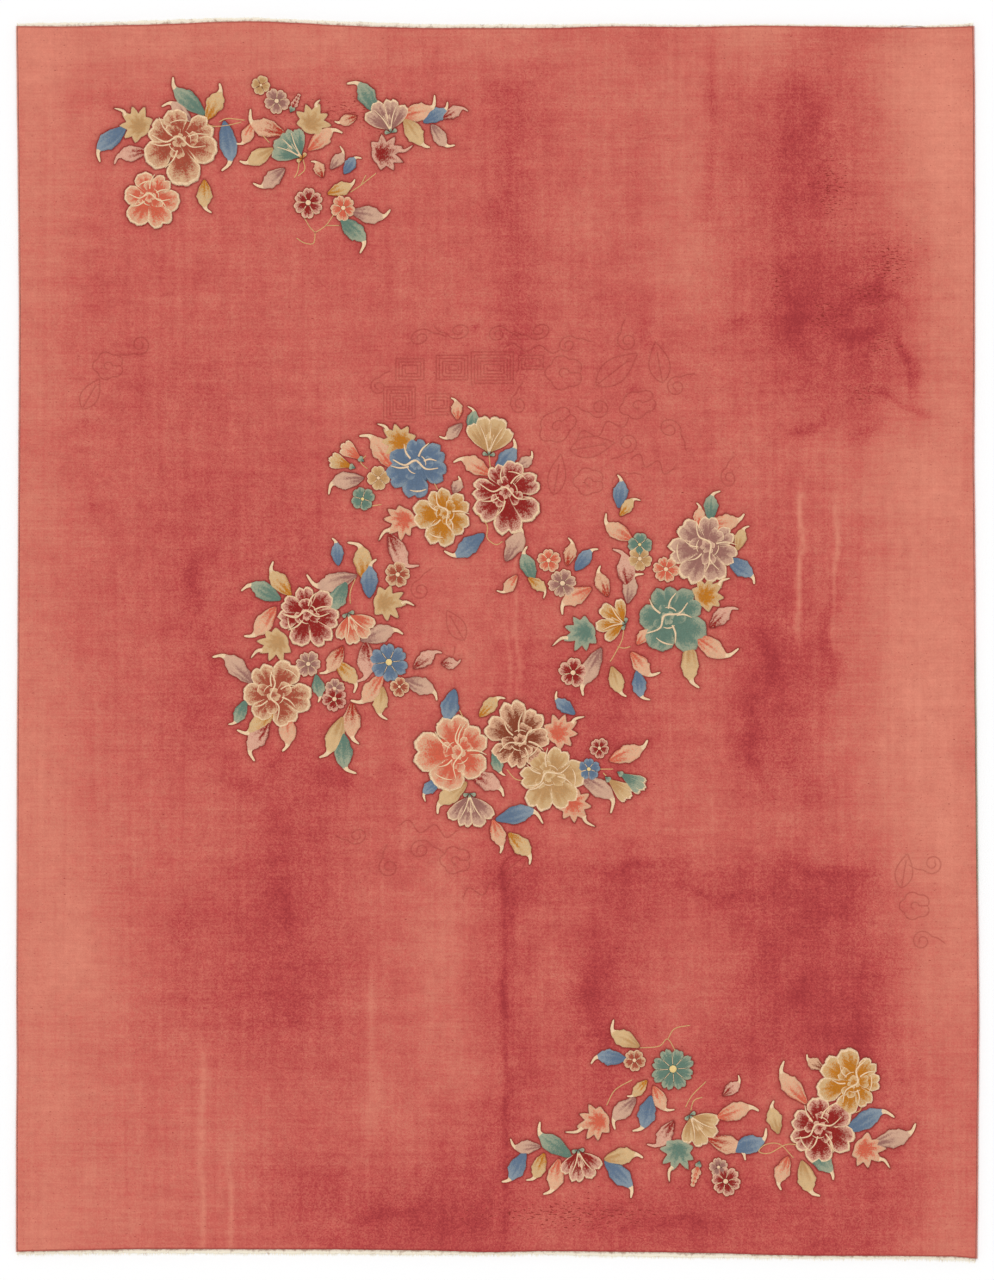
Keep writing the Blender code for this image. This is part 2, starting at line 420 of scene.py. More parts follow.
# Small deep stains, and creases whose shade is painted in as deeper tone: x, y, half width, half height, turn
# and tone.
STAINS_AND_CREASE_SHADE = """
x y half_w half_h turn tone
118 79 1.1 8 2 0.45
119.5 74 1.8 6 -4 0.4
120 64 3.5 1.2 -10 0.4
111 67 4.5 1.1 -38 0.5
108 86 6 2.2 6 0.3
103 58 5 3 20 0.35
86 59 7 2.4 32 0.42
84 92 5 8 0 0.25
86 151 5 12 0 0.3
80 142 3 9 0 0.25
92 131 4 7 0 0.2
84 112 3 14 0 0.2
104 98 8 3 8 0.2
97 93 6 2.4 12 0.25
112 95 6 1.6 -25 0.22
88 88 4 10 0 0.2
109 100 2.4 7 0 0.14
104 86 7 2.4 10 0.2
37 71 2 1.6 20 0.35
44 84 3 2 0 0.35
43 88 2 3 0 0.3
70 92 4 2 0 0.3
-6 90 1 1 0 0.5
78 -6 2 10 0 0.45
95 -4 2.4 16 0 0.4
97 12 2 9 0 0.35
73 -30 2.4 12 0 0.35
88 -64 9 2 0 0.4
100 -66 8 2.4 0 0.35
40 -66 10 1.6 0 0.3
60 -72 14 1.2 0 0.3
29 -98 4 7 0 0.4
31 -112 3 7 0 0.3
5 -74 1.2 12 0 0.3
4 -100 1.4 18 0 0.25
-60 -78 3 10 0 0.35
-72 -40 5 3 0 0.3
-60 -36 4 3 0 0.3
-88 14 3 9 0 0.3
-84 -4 2 8 0 0.25
-46 -42 5 3 0 0.3
-28 -38 3 2 0 0.3
-92 -84 3 8 0 0.25
-30 -164 12 1.6 0 0.3
50 -166 14 2 0 0.3
75 -92 3 10 0 0.2
90 -100 4 9 0 0.3
106 -120 3 10 0 0.3
-116 38 1.4 6 0 0.2
-118 60 4 2 0 0.2
"""

# Runs of low dark knots in the worn part of the field: x, y, half width, half height.
LOW_KNOTS = """
x y half_w half_h
112 107 9 9
106 98 8 6
94 92 5 8
80 101 3 9
95 128 6 12
110 84 7 5
104 70 6 4
-40 150 26 5
20 -164 36 5
"""

# Pale worn lines that run along the warps: x, lower y, upper y, half width, tone.
WORN_LINES = """
x low high half_w tone
86 -2 40 0.7 -0.9
96 -4 38 0.6 -0.6
-84 -175 -118 0.8 -0.5
-76 -174 -144 0.7 -0.45
2 -174 -62 0.8 0.5
5.5 -20 26 0.5 -0.55
2.8 -22 14 0.5 -0.4
-36 -140 -96 2.0 -0.3
61 120 172 1.2 0.35
"""

# Tone-on-tone work carved into the field: kind, x, y, width, height, turns or degrees.
CARVED_WORK = """
kind x y width height turn
fret -25 77 8 6 0
fret -13 77.5 9 7 0
fret -1.5 77.5 12 9 0
fret 9.5 79 7 4 0
fret -28 67 10 9 90
fret -17 67 6 7 90
scroll -22 86 7 5 20
scroll -11 88 7 5 190
scroll 0 87 6 5 10
scroll 12 88 7 5 200
scroll -34 72 5 5 80
scroll 20 84 6 5 30
lobes 19 76 11 10 0
blade 34 77 15 7 38
blade 46 79 12 6 100
scroll 37 85 6 6 120
lobes 40 67 11 8 20
scroll 29 66 6 6 200
lobes 17 61 12 9 40
scroll 37 56 6 6 250
blade 27 55 13 6 10
scroll 49 60 7 6 330
scroll 6 67 6 5 100
lobes 26 45 9 8 0
scroll 35 45 6 5 40
blade 17 47 12 5 80
scroll 51 72 6 6 60
wave 10 83 16 2 -4
wave 30 60 16 3 20
wave 44 50 12 3 -20
scroll -22 -60 7 6 10
lobes -12 -63 9 8 0
scroll -31 -65 6 6 120
wave -20 -54 16 3 -10
wave -3 -71 14 3 15
blade 5 -64 10 5 40
scroll -40 -56 6 5 200
lobes -111 78 9 8 0
scroll -102 84 6 6 230
blade -116 70 10 5 60
lobes 119 -76 9 8 0
scroll 124 -64 6 6 210
blade 116 -66 10 5 80
scroll 121 -86 6 6 20
scroll -22 14 6 6 90
blade -12 4 10 5 120
wave -18 -6 14 3 30
scroll 66 46 6 5 100
scroll -8 -30 6 5 60
"""

# ---------------------------------------------------------------- sizes of the work

CARVE_WIDTH = 0.0030
FINE_CARVE_DEPTH = 0.0010
FINE_CARVE_WIDTH = 0.0020
LAYER_STEP = 0.00035
SUNK_RIM = 0.0022
KNOT = 0.0034
FIELD_STEP = 0.020
GROOVE_STEP = 0.005
EDGE_STEP = 0.008
CELL = 0.002
END_SHADE_WIDTH = 0.0062
SEED = 1925
LOOSE_RIM = 0.0002
CUSHION_FLOOR = 0.0004
GRID_INSET = 0.012
GRID_MARGIN = 0.008
UNDER_INSET = 0.08
UNDER_MARGIN = 0.05
UNDER_STEP = 0.1
CARVE_CLEAR = 0.0065
GROOVE_BED = 0.0006
GROOVE_PROBE = 0.0022
GROOVE_LIP = 0.0052
FINE_SIDE = 0.0032
CORD_HEIGHT = 0.0032
WARP_HEIGHT = 0.0011
QUARTER_TURN = 1.5708
SHARPEST_KNOT = 0.995
FLOOR_HALF = 60.0
FLOOR_DROP = -0.0005
STUDIO_GLOW = 0.76
CAMERA_PLACE = (-0.0018, -0.0018, 10.15)
CAMERA_LENS = 100.0


def table(text):
    """Rows of a layout table whose first line names its columns, as dictionaries."""
    lines = text.split("\n")[1:-1]
    names = lines[0].split()
    rows = []
    for line in lines[1:]:
        values = [word if index == 0 and names[0] == "kind" else float(word)
                  for index, word in enumerate(line.split())]
        rows.append(dict(zip(names, values)))
    return rows


def linear(name):
    """Linear red, green, blue and alpha of a named dye."""
    code = DYES[name].lstrip("#")
    channels = [int(code[i:i + 2], 16) / 255.0 for i in (0, 2, 4)]
    return tuple(c / 12.92 if c <= 0.04045 else ((c + 0.055) / 1.055) ** 2.4 for c in channels) + (1.0,)


def smooth(low, high, value):
    """0 below low, 1 above high and an easy S between them."""
    share = np.clip((value - low) / (high - low), 0.0, 1.0)
    return share * share * (3.0 - 2.0 * share)


def unit(angle):
    """The flat direction at an angle in radians."""
    return np.array((math.cos(angle), math.sin(angle)))


def way(a, b):
    """Length and angle of the way from a to b."""
    return float(np.linalg.norm(b - a)), math.atan2(b[1] - a[1], b[0] - a[0])


# ---------------------------------------------------------------- outline from the frame

def mesh_points(mesh):
    """All points of a mesh."""
    flat = np.empty(len(mesh.vertices) * 3, np.float32)
    mesh.vertices.foreach_get("co", flat)
    return flat.reshape(-1, 3)


def node_points(node):
    """Every separate point of a CAD node, as an array."""
    return np.unique(mesh_points(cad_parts[node].data).astype(float).round(6), axis=0)


class Outline:
    """The pile's uneven outline, as four edges that give x for a y or y for an x."""

    def __init__(self):
        points = node_points("pile")
        low = points[points[:, 2] < PILE_LOW[2] + 0.0005][:, :2]
        order = np.argsort(np.arctan2(low[:, 1], low[:, 0]))
        loop = low[order]
        corners = [int(np.argmax(loop @ np.array(sign)))
                   for sign in ((-1, -1), (1, -1), (1, 1), (-1, 1))]
        runs = []
        for start, stop in zip(corners, corners[1:] + corners[:1]):
            count = (stop - start) % len(loop)
            runs.append(np.array([loop[(start + i) % len(loop)] for i in range(count + 1)]))
        self.bottom, self.right, self.top, self.left = runs
        self.top = self.top[::-1]
        self.left = self.left[::-1]

    def low_y(self, x):
        """Y of the bottom edge at x."""
        return np.interp(x, self.bottom[:, 0], self.bottom[:, 1])

    def high_y(self, x):
        """Y of the top edge at x."""
        return np.interp(x, self.top[:, 0], self.top[:, 1])

    def left_x(self, y):
        """X of the left edge at y."""
        return np.interp(y, self.left[:, 1], self.left[:, 0])

    def right_x(self, y):
        """X of the right edge at y."""
        return np.interp(y, self.right[:, 1], self.right[:, 0])

    def inside(self, x, y):
        """Distance to the nearest edge, positive inside."""
        return np.minimum.reduce([
            x - self.left_x(y), self.right_x(y) - x,
            y - self.low_y(x), self.high_y(x) - y])

    def ring(self, inset, step):
        """Loop of points a little inside the outline, counter-clockwise from bottom left."""
        sides = (self.bottom, self.right, self.top[::-1], self.left[::-1])
        loop = np.concatenate([stepped(run, step)[:-1] for run in sides])
        half = (loop.max(0) - loop.min(0)) / 2.0
        middle = (loop.max(0) + loop.min(0)) / 2.0
        return middle + (loop - middle) * (1.0 - inset / half)


OUTLINE = Outline()

# ---------------------------------------------------------------- raised wool shapes


class Wool:
    """Low cushions of pile gathered for one piece, with the dyes of every point."""

    def __init__(self, rise):
        self.rise = rise
        self.points, self.faces, self.outlines = [], [], []
        self.dyes = {"body_dye": [], "heart_dye": [], "tip_dye": []}
        self.shares = {"heart": [], "rim": [], "lip": []}
        self.count = 0

    def add(self, points, faces, heart, rim, lip, shade):
        """Gather one closed shape: its points, faces and the shading of each point."""
        self.points.append(points)
        self.faces += [block + self.count for block in faces]
        self.count += len(points)
        names = SHADES[shade] if isinstance(shade, str) else shade
        for label, name in zip(self.dyes, names):
            self.dyes[label].append(np.tile(linear(name), (len(points), 1)))
        for label, values in (("heart", heart), ("rim", rim), ("lip", lip)):
            self.shares[label].append(np.asarray(values, float))

    def heights(self, layer, carve):
        """How low a shape's rim is sunk and how high its top stands."""
        sunk = PILE_HIGH[2] - (SUNK_RIM if carve else LOOSE_RIM)
        return sunk, PILE_HIGH[2] + self.rise + layer * LAYER_STEP

    def cushion(self, flat, crown, heart, rim, shade, layer, carve=True):
        """A closed low cushion over a grid of flat points, its rim sunk into the pile."""
        rows, columns = flat.shape[:2]
        edge = np.ones((rows, columns), bool)
        edge[1:-1, 1:-1] = False
        inner = ~edge.reshape(-1)
        sunk, level = self.heights(layer, carve)
        upper = np.dstack([flat, np.where(edge, sunk, level + crown)]).reshape(-1, 3)
        foot = np.full((rows, columns), sunk - CUSHION_FLOOR)
        under = np.dstack([flat, foot]).reshape(-1, 3)[inner]
        index = np.arange(rows * columns).reshape(rows, columns)
        low = index.copy()
        low[~edge] = rows * columns + np.arange(int(inner.sum()))
        top, base = quads(index), quads(low)[:, ::-1]
        if signed_area(flat) < 0.0:
            top, base = top[:, ::-1], base[:, ::-1]
        # The lip share marks a carved shape's sunk rim, where the motif material paints the groove's shade.
        spread = [np.broadcast_to(values, (rows, columns)).reshape(-1)
                  for values in (heart, rim, edge * float(carve))]
        self.add(np.concatenate([upper, under]), [top, base],
                 *[np.concatenate([values, values[inner]]) for values in spread], shade)
        if carve:
            self.outlines.append(perimeter(flat))

    def rosette(self, rings, crown, heart, rim, shade, layer, carve=True):
        """A closed low cushion from loops of flat points, widest first, and a last single point."""
        count = rings[0].shape[0]
        sunk, level = self.heights(layer, carve)
        heights = [sunk] + [level + rise for rise in crown[1:]]
        loops = [np.column_stack([ring, np.full(len(ring), z)]) for ring, z in zip(rings, heights)]
        foot = np.array([[*rings[-1][0], sunk - CUSHION_FLOOR]])
        around = np.arange(count)
        after = (around + 1) % count
        blocks = [band(k * count, (k + 1) * count, count) for k in range(len(rings) - 2)]
        inner = (len(rings) - 2) * count
        peak = (len(rings) - 1) * count
        blocks.append(np.stack([inner + around, inner + after, np.full(count, peak)], axis=1))
        blocks.append(np.stack([after, around, np.full(count, peak + 1)], axis=1))
        # Painted groove shade goes on the sunk outer ring of a carved shape.
        lip = (float(carve),) + (0.0,) * (len(rings) - 1)
        shares = [np.concatenate([np.full(len(ring), value) for ring, value in zip(rings, values)]
                                 + [[values[-1]]]) for values in (heart, rim, lip)]
        self.add(np.concatenate(loops + [foot]), blocks, *shares, shade)
        if carve:
            self.outlines.append(rings[0])

    def mesh(self, name):
        """The gathered shapes as one mesh object that carries its dyes."""
        mesh = bpy.data.meshes.new(name)
        fill_mesh(mesh, np.concatenate(self.points), self.faces)
        for label, store in self.dyes.items():
            set_colours(mesh, label, np.concatenate(store))
        for label, store in self.shares.items():
            set_share(mesh, label, np.concatenate(store))
        return linked(name, mesh)


def quads(index):
    """The quads of a grid of point numbers."""
    return np.stack([index[:-1, :-1], index[1:, :-1], index[1:, 1:], index[:-1, 1:]], axis=-1).reshape(-1, 4)


def band(lower, upper, count):
    """The quads between two closed loops of points that start at these numbers."""
    around = np.arange(count)
    after = (around + 1) % count
    return np.stack([lower + around, lower + after, upper + after, upper + around], axis=1)


def set_share(mesh, label, values):
    """Store one number for every point of a mesh."""
    layer = mesh.attributes.new(label, "FLOAT", "POINT")
    layer.data.foreach_set("value", np.asarray(values, np.float32))


def set_colours(mesh, label, values):
    """Store one colour for every point of a mesh."""
    layer = mesh.attributes.new(label, "FLOAT_COLOR", "POINT")
    layer.data.foreach_set("color", np.asarray(values, np.float32).reshape(-1))


def fill_mesh(mesh, points, blocks):
    """Put points and blocks of like-sided faces into a mesh, shaded smooth."""
    sizes = np.concatenate([np.full(len(block), block.shape[1]) for block in blocks])
    corners = np.concatenate([block.reshape(-1) for block in blocks])
    mesh.vertices.add(len(points))
    mesh.vertices.foreach_set("co", points.reshape(-1).astype(np.float32))
    mesh.loops.add(len(corners))
    mesh.loops.foreach_set("vertex_index", corners.astype(np.int32))
    mesh.polygons.add(len(sizes))
    starts = np.concatenate([[0], np.cumsum(sizes)[:-1]])
    mesh.polygons.foreach_set("loop_start", starts.astype(np.int32))
    mesh.update(calc_edges=True)
    mesh.validate()
    mesh.shade_smooth()


def linked(name, data):
    """A new object in the scene, at the origin."""
    piece = bpy.data.objects.new(name, data)
    bpy.context.scene.collection.objects.link(piece)
    return piece


def perimeter(flat):
    """The outer loop of a grid of flat points."""
    return np.concatenate([flat[0, :-1], flat[:-1, -1], flat[-1, :0:-1], flat[:0:-1, 0]])


def signed_area(flat):
    """Area of a grid's outer loop: negative where its quads would face down."""
    x, y = perimeter(flat).T
    return -0.5 * float(np.sum(x * np.roll(y, -1) - y * np.roll(x, -1)))


def smooth_run(places, count):
    """A smooth run of points through the given places."""
    places = np.asarray(places, float)
    if len(places) == 2:
        share = np.linspace(0, 1, count)[:, None]
        return places[0] * (1 - share) + places[1] * share
    padded = np.vstack([2 * places[0] - places[1], places, 2 * places[-1] - places[-2]])
    run = []
    for value in np.linspace(0, len(places) - 1, count):
        k = min(int(value), len(places) - 2)
        t = value - k
        p0, p1, p2, p3 = padded[k:k + 4]
        run.append(0.5 * (2 * p1 + (p2 - p0) * t + (2 * p0 - 5 * p1 + 4 * p2 - p3) * t * t
                          + (3 * p1 - p0 - 3 * p2 + p3) * t ** 3))
    return np.array(run)


def across(run, half_width, columns):
    """A grid of points spread across a run, half_width to each side."""
    along = np.gradient(run, axis=0)
    along /= np.linalg.norm(along, axis=1)[:, None] + 1e-9
    side = np.stack([-along[:, 1], along[:, 0]], axis=1)
    half = np.broadcast_to(half_width, (len(run),))
    return run[:, None, :] + side[:, None, :] * half[:, None, None] * np.asarray(columns)[None, :, None]


RIBBON = (-1.0, -0.55, 0.55, 1.0)


def ribbon(wool, places, width, shade, layer, taper=(0.35, 1.0, 0.25), step=0.004):
    """A narrow line of pile through the given places, such as a stem or a vein."""
    places = np.asarray(places, float)
    length = float(np.linalg.norm(np.diff(places, axis=0), axis=1).sum())
    run = smooth_run(places, max(6, round(length / step)))
    share = np.linspace(0, 1, len(run))
    half = width / 2.0 * np.interp(share, (0.0, 0.5, 1.0), taper)
    flat = across(run, half, RIBBON)
    wool.cushion(flat, 0.0002 + 0.0003 * share[:, None], 0.0, 1.0, shade, layer, carve=False)


LEAF_SHARES = (0.0, 0.03, 0.08, 0.14, 0.21, 0.28, 0.35, 0.42, 0.48, 0.54,
               0.59, 0.63, 0.67, 0.71, 0.78, 0.85, 0.92, 0.97, 1.0)
LEAF_WIDTHS = (0.06, 0.22, 0.45, 0.68, 0.87, 0.98, 1.0, 0.95, 0.84, 0.69,
               0.54, 0.42, 0.32, 0.25, 0.20, 0.16, 0.13, 0.09, 0.03)
LEAF_COLUMNS = (-1.0, -0.86, -0.58, -0.26, 0.0, 0.26, 0.58, 0.86, 1.0)


def leaf(wool, dye, middle, tip, chance, layer):
    """A leaf with a dark base, a full body and a long tip that curls aside."""
    reach = float(np.linalg.norm(tip - middle))
    length = reach / 0.62
    forward = (tip - middle) / reach
    aside = np.array((-forward[1], forward[0])) * chance.choice((-1.0, 1.0))
    base = middle - forward * length * 0.38
    bend = chance.uniform(0.06, 0.17) * length
    places = (base, middle + aside * bend * 0.55, middle + forward * length * 0.26 + aside * bend,
              middle + forward * length * 0.47 + aside * bend * 0.9, tip - aside * bend * 0.5)
    knots = smooth_run(places, 81)
    run = knots[np.rint(np.array(LEAF_SHARES) * 80).astype(int)]
    full = float(np.clip(0.46 * reach / 0.62, 0.035, 0.054))
    share = np.array(LEAF_SHARES)[:, None]
    column = np.array(LEAF_COLUMNS)[None, :]
    ragged = 1.0 + 0.07 * np.sin(share[:, 0] * 31.0 + chance.uniform(0, 6))
    ragged = ragged + chance.uniform(-0.06, 0.06, len(share))
    flat = across(run, full / 2.0 * np.array(LEAF_WIDTHS) * ragged, LEAF_COLUMNS)
    crown = 0.0006 * (1.0 - column ** 2) * np.array(LEAF_WIDTHS)[:, None]
    plain = dye in PLAIN_BODY
    streak = 0.13 * np.cos(column * 9.0 + chance.uniform(0, 6)) + 0.07 * np.cos(column * 21.0)
    reached = share + 0.16 * np.abs(column) + streak
    depth = 1.05 - smooth(0.02, 0.85 if plain else 0.54, reached)
    tip_from, tip_to = (0.655, 0.69) if plain and reach > 0.04 else (0.56, 0.78)
    rim = smooth(tip_from, tip_to, share + 0.0 * column)
    if not plain:
        rim = np.maximum(rim, 0.66 * (np.abs(column) > 0.95) * smooth(0.12, 0.35, share))
    wool.cushion(flat, crown, depth, rim, dye, layer)


STAR_RINGS = (1.0, 0.9, 0.66, 0.36, 0.0)


def star(wool, dye, centre, tip, chance, layer):
    """A maple-like leaf: pointed lobes round a dark heart and one long curling tip."""
    reach, ahead = way(centre, tip)
    size = max(0.058, reach * 0.54) / 0.72
    turns = np.linspace(-math.pi, math.pi, 73)[:-1]
    lobes = ((0.0, 1.12, 0.40), (0.70, 1.04, 0.34), (-0.70, 1.04, 0.34), (1.36, 1.0, 0.34),
             (-1.36, 1.0, 0.34), (2.10, 0.86, 0.42), (-2.10, 0.86, 0.42))
    radius = np.full(len(turns), 0.60)
    for where, long, wide in lobes:
        where = where + chance.uniform(-0.09, 0.09)
        away = np.abs((turns - where + math.pi) % (2 * math.pi) - math.pi)
        point = 0.60 + (long * chance.uniform(0.90, 1.06) - 0.60) * np.clip(1.0 - away / wide, 0, 1) ** 1.1
        radius = np.maximum(radius, point)
    loop = np.stack([np.cos(turns + ahead), np.sin(turns + ahead)], axis=1) * (radius * size * 0.72)[:, None]
    heart = centre - unit(ahead) * size * 0.12
    rings = [heart + share * (loop + centre - heart) for share in STAR_RINGS[:-1]] + [heart[None, :]]
    wool.rosette(rings, (0, 0.0002, 0.0005, 0.0007, 0.0008), (0, 0.05, 0.32, 0.85, 1), (0.62, 0.25, 0, 0, 0),
                 dye, layer)
    side = np.array((-math.sin(ahead), math.cos(ahead))) * chance.choice((-1.0, 1.0))
    start = centre + unit(ahead) * size * 0.52
    curl = (start, start + (tip - start) * 0.4 + side * reach * 0.10, tip)
    run = smooth_run(curl, 9)
    half = np.interp(np.linspace(0, 1, 9), (0, 0.25, 0.8, 1), (0.0110, 0.0065, 0.0034, 0.0010))
    flat_tip = across(run, half, RIBBON)
    wool.cushion(flat_tip, 0.0002, 0.0, 0.9, dye, layer + 0.5)


PETAL_SHARES = (0.06, 0.12, 0.26, 0.40, 0.54, 0.67, 0.79, 0.89, 0.95, 1.0)
PETAL_COLUMNS = (-1.0, -0.90, -0.72, -0.52, -0.30, -0.12, 0.0, 0.12, 0.30, 0.52, 0.72, 0.90, 1.0)


def petal(wool, dye, root, turn, length, spread, notch, layer, edge=1.0, heart=1.0, fade=0.86, droop=0.27):
    """A fan-shaped petal from its root, round at its outer edge or notched in the middle of it."""
    share = np.array(PETAL_SHARES)[:, None]
    column = np.array(PETAL_COLUMNS)[None, :]
    outer = 1.0 - droop * np.abs(column) ** 3.0 - notch * np.exp(-(column / 0.13) ** 2) * share
    outer = outer + 0.018 * np.cos(column * 13.0 + turn * 5.0) * share
    angle = turn + column * spread * (0.70 + 0.42 * share - 0.12 * share ** 4)
    reach = length * share * outer
    flat = root + np.stack([np.cos(angle), np.sin(angle)], axis=-1) * reach[..., None]
    crown = 0.0009 * np.sin(math.pi * np.minimum(share * 1.08, 1.0)) * (1.0 - column ** 2)
    streak = 0.075 * np.cos(column * 12.0 + turn * 3.0) + 0.05 * np.cos(column * 29.0)
    dark = heart * np.clip(1.10 - smooth(fade - 0.58, fade, share + 0.13 * np.abs(column) + streak), 0, 1)
    rim = edge * np.maximum(smooth(0.86, 0.93, share) + 0.0 * column,
                            smooth(0.82, 0.94, np.abs(column)) * smooth(0.15, 0.5, share))
    wool.cushion(flat, crown, dark, rim, dye, layer)


def disc(wool, dye, centre, radius, layer, shares=(1, 1), carve=False):
    """A round of wool, such as a flower's ground or its eye."""
    around = np.arange(12) / 12 * 2 * math.pi
    ring = np.stack([np.cos(around), np.sin(around)], axis=1)
    rings = [centre + ring * radius * share for share in (1.0, 0.85, 0.45)] + [centre[None, :]]
    wool.rosette(rings, (0, 0.0002, 0.0005, 0.0006), (shares[0],) * 4, (shares[1],) * 4, dye, layer, carve)


def peony(wool, dye, centre, width, chance, layer):
    """A full open flower: wide outer petals, smaller ones round a curled heart, pale veins between."""
    radius = width / 2.0
    lean = chance.uniform(0, 2 * math.pi)
    middle = centre + unit(lean) * radius * 0.16
    plain = dye in PLAIN_BODY
    edge = 0.2 if plain else 0.80
    fade = 1.10 if plain else 1.04 if dye == "crimson" else 0.98
    number = int(chance.choice((5, 6, 6, 7)))
    first = chance.uniform(0, 2 * math.pi)
    disc(wool, dye, middle, radius * 0.62, layer - 0.8, (1.0, 0.0))
    gaps = []
    for k in range(number):
        turn = first + 2 * math.pi * k / number + chance.uniform(-0.10, 0.10)
        across_centre = middle - centre
        along = float(across_centre @ unit(turn))
        reach = -along + math.sqrt(max(radius ** 2 - float(across_centre @ across_centre) + along ** 2, 1e-6))
        petal(wool, dye, middle, turn, reach * chance.uniform(0.95, 1.07), 3.55 / number,
              chance.choice((0.0, 0.10, 0.13)), layer + (0.0 if k % 2 else 0.9), edge, 1.0, fade, 0.34)
        gaps.append(turn + math.pi / number)
    for k in range(3):
        turn = first + 0.5 + 2.0 * math.pi * k / 3.0 + chance.uniform(-0.25, 0.25)
        petal(wool, dye, middle, turn, radius * chance.uniform(0.44, 0.60), 0.66, chance.choice((0.0, 0.12)),
              layer + 2.2 + 0.4 * (k % 2), edge, 1.0, fade)
    for k in range(3):
        turn = lean + 2.1 * k
        petal(wool, dye, middle - unit(turn) * radius * 0.05, turn, radius * 0.27, 0.80, 0.10,
              layer + 3.6, edge, 0.85, 0.8)
    vein = 0.0080 if plain else 0.0066
    swing = lean + chance.uniform(0.8, 1.4)
    side = unit(swing + math.pi / 2)
    bends = ((0.78, 0.10), (0.34, 0.15), (0.06, -0.10), (-0.34, 0.04), (-0.72, -0.12))
    main = [middle + unit(swing) * radius * out + side * radius * aside for out, aside in bends]
    ribbon(wool, main, vein * 1.2, "cream", layer + 5.0, (0.45, 1.1, 0.35))
    for k in chance.choice(number, 4, replace=False):
        turn = gaps[int(k)]
        start = middle + unit(turn + 0.3) * radius * 0.22
        stop = middle + unit(turn) * radius * chance.uniform(0.66, 0.86)
        bow = (start + stop) / 2 + unit(turn + math.pi / 2) * radius * 0.06
        ribbon(wool, (start, bow, stop), vein, "cream", layer + 4.8, (1.0, 0.9, 0.3))
    for turn in (swing + 1.2, swing + 3.9):
        loop = [middle + unit(turn + bend) * radius * 0.30 for bend in (-0.7, -0.25, 0.25, 0.7)]
        ribbon(wool, loop, vein * 0.7, "cream", layer + 4.9, (0.4, 1.0, 0.4))
    under = first + chance.integers(number) * 2 * math.pi / number
    rim = [centre + unit(under + turn) * radius * 0.70 for turn in (-0.42, -0.14, 0.14, 0.42)]
    ribbon(wool, rim, vein * 0.9, "cream", layer + 4.2, (0.3, 1.0, 0.4))


def blossom(wool, dye, centre, width, number, chance, layer):
    """A small open flower with round notched petals and a pale eye."""
    radius = width / 2.0
    first = chance.uniform(0, 2 * math.pi)
    spread = min(0.86, math.pi / number * 1.04)
    plain = dye in PLAIN_BODY
    for k in range(number):
        turn = first + 2 * math.pi * k / number
        petal(wool, dye, centre, turn, radius * chance.uniform(0.94, 1.06), spread, 0.10,
              layer + 0.5 * (k % 2), 0.25 if plain else 0.66, 1.0, 1.06 if plain else 0.98)
    eye = radius * (0.19 if number > 4 else 0.15)
    disc(wool, "eye" if plain else "cream", centre, eye, layer + 1.6, (0, 1))
    if width > 0.055:
        for k in range(number):
            turn = first + 2 * math.pi * (k + 0.5) / number
            ribbon(wool, (centre + unit(turn) * eye, centre + unit(turn) * radius * 0.62), 0.0026,
                   "cream", layer + 1.4, (1.0, 0.8, 0.5))


def side_flower(wool, dye, base, tip, width, chance, layer):
    """A flower seen from the side: spread petals, pale ribs, stamens and a small green cup."""
    height, ahead = way(base, tip)
    open_angle = min(1.05, math.asin(min(0.9, width / 2.0 / (height * 1.05))) + 0.05)
    plain = dye in PLAIN_BODY
    edge = 0.4 if plain else 0.74
    rows = ((-open_angle, 0.90, 0.40, 0.0), (open_angle, 0.94, 0.40, 0.0),
            (0.40 * open_angle, 1.0, 0.42, 0.0), (-0.30 * open_angle, 1.04, 0.46, 0.08))
    for number, (turn, long, spread, notch) in enumerate(rows):
        petal(wool, dye, base, ahead + turn, height * long * chance.uniform(0.95, 1.05), spread, notch,
              layer + 0.7 * number, edge, 1.0, 0.95, 0.62)
    petal(wool, dye, base, ahead + chance.uniform(-0.1, 0.1), height * 0.60, 0.30, 0.0, layer + 3.4, edge)
    for turn in (-open_angle * 0.60, open_angle * 0.60, 0.02):
        bow = base + unit(ahead + turn * 0.8) * height * 0.42
        ribbon(wool, (base, bow, base + unit(ahead + turn) * height * 0.84), 0.0060, "cream", layer + 4.2,
               (0.9, 0.9, 0.3))
    for turn in (-0.16, 0.05, 0.24):
        stop = base + unit(ahead + turn) * height * 0.55
        ribbon(wool, (base, stop), 0.0028, "cream", layer + 4.4, (0.8, 0.8, 1.0))
    cup = "teal" if dye != "teal" else "ochre"
    for turn in (-1.25, 0.0, 1.25):
        petal(wool, cup, base - unit(ahead) * 0.006, ahead + turn, 0.019 if turn else 0.013, 0.44, 0.0,
              layer + 4.8, 0.0, 0.8)


def bud(wool, dye, base, tip, layer):
    """A lily bud: a slender body with three pointed lobes and a round green cup."""
    height, ahead = way(base, tip)
    for turn, long, spread in ((-0.24, 0.98, 0.17), (0.24, 0.96, 0.17), (0.0, 1.04, 0.20)):
        petal(wool, dye, base, ahead + turn, height * long, spread, 0.0, layer + 0.8 * (turn == 0.0), 0.72)
    petal(wool, "teal", base - unit(ahead) * 0.006, ahead, 0.021, 0.62, 0.08, layer + 2.0, 0.1, 0.8)


def spike(wool, dye, base, tip, layer):
    """A closed spike: four small pale petals stacked on a green cup."""
    height, ahead = way(base, tip)
    for k in range(4):
        root = base + unit(ahead) * height * (0.12 + 0.20 * k)
        petal(wool, dye, root, ahead, height * (0.44 - 0.05 * k), 0.66 - 0.07 * k, 0.0,
              layer + 1.8 - 0.5 * k, 0.8, 1.0)
    petal(wool, "teal", base - unit(ahead) * 0.004, ahead, 0.021, 0.66, 0.08, layer + 2.6, 0.1, 0.9)


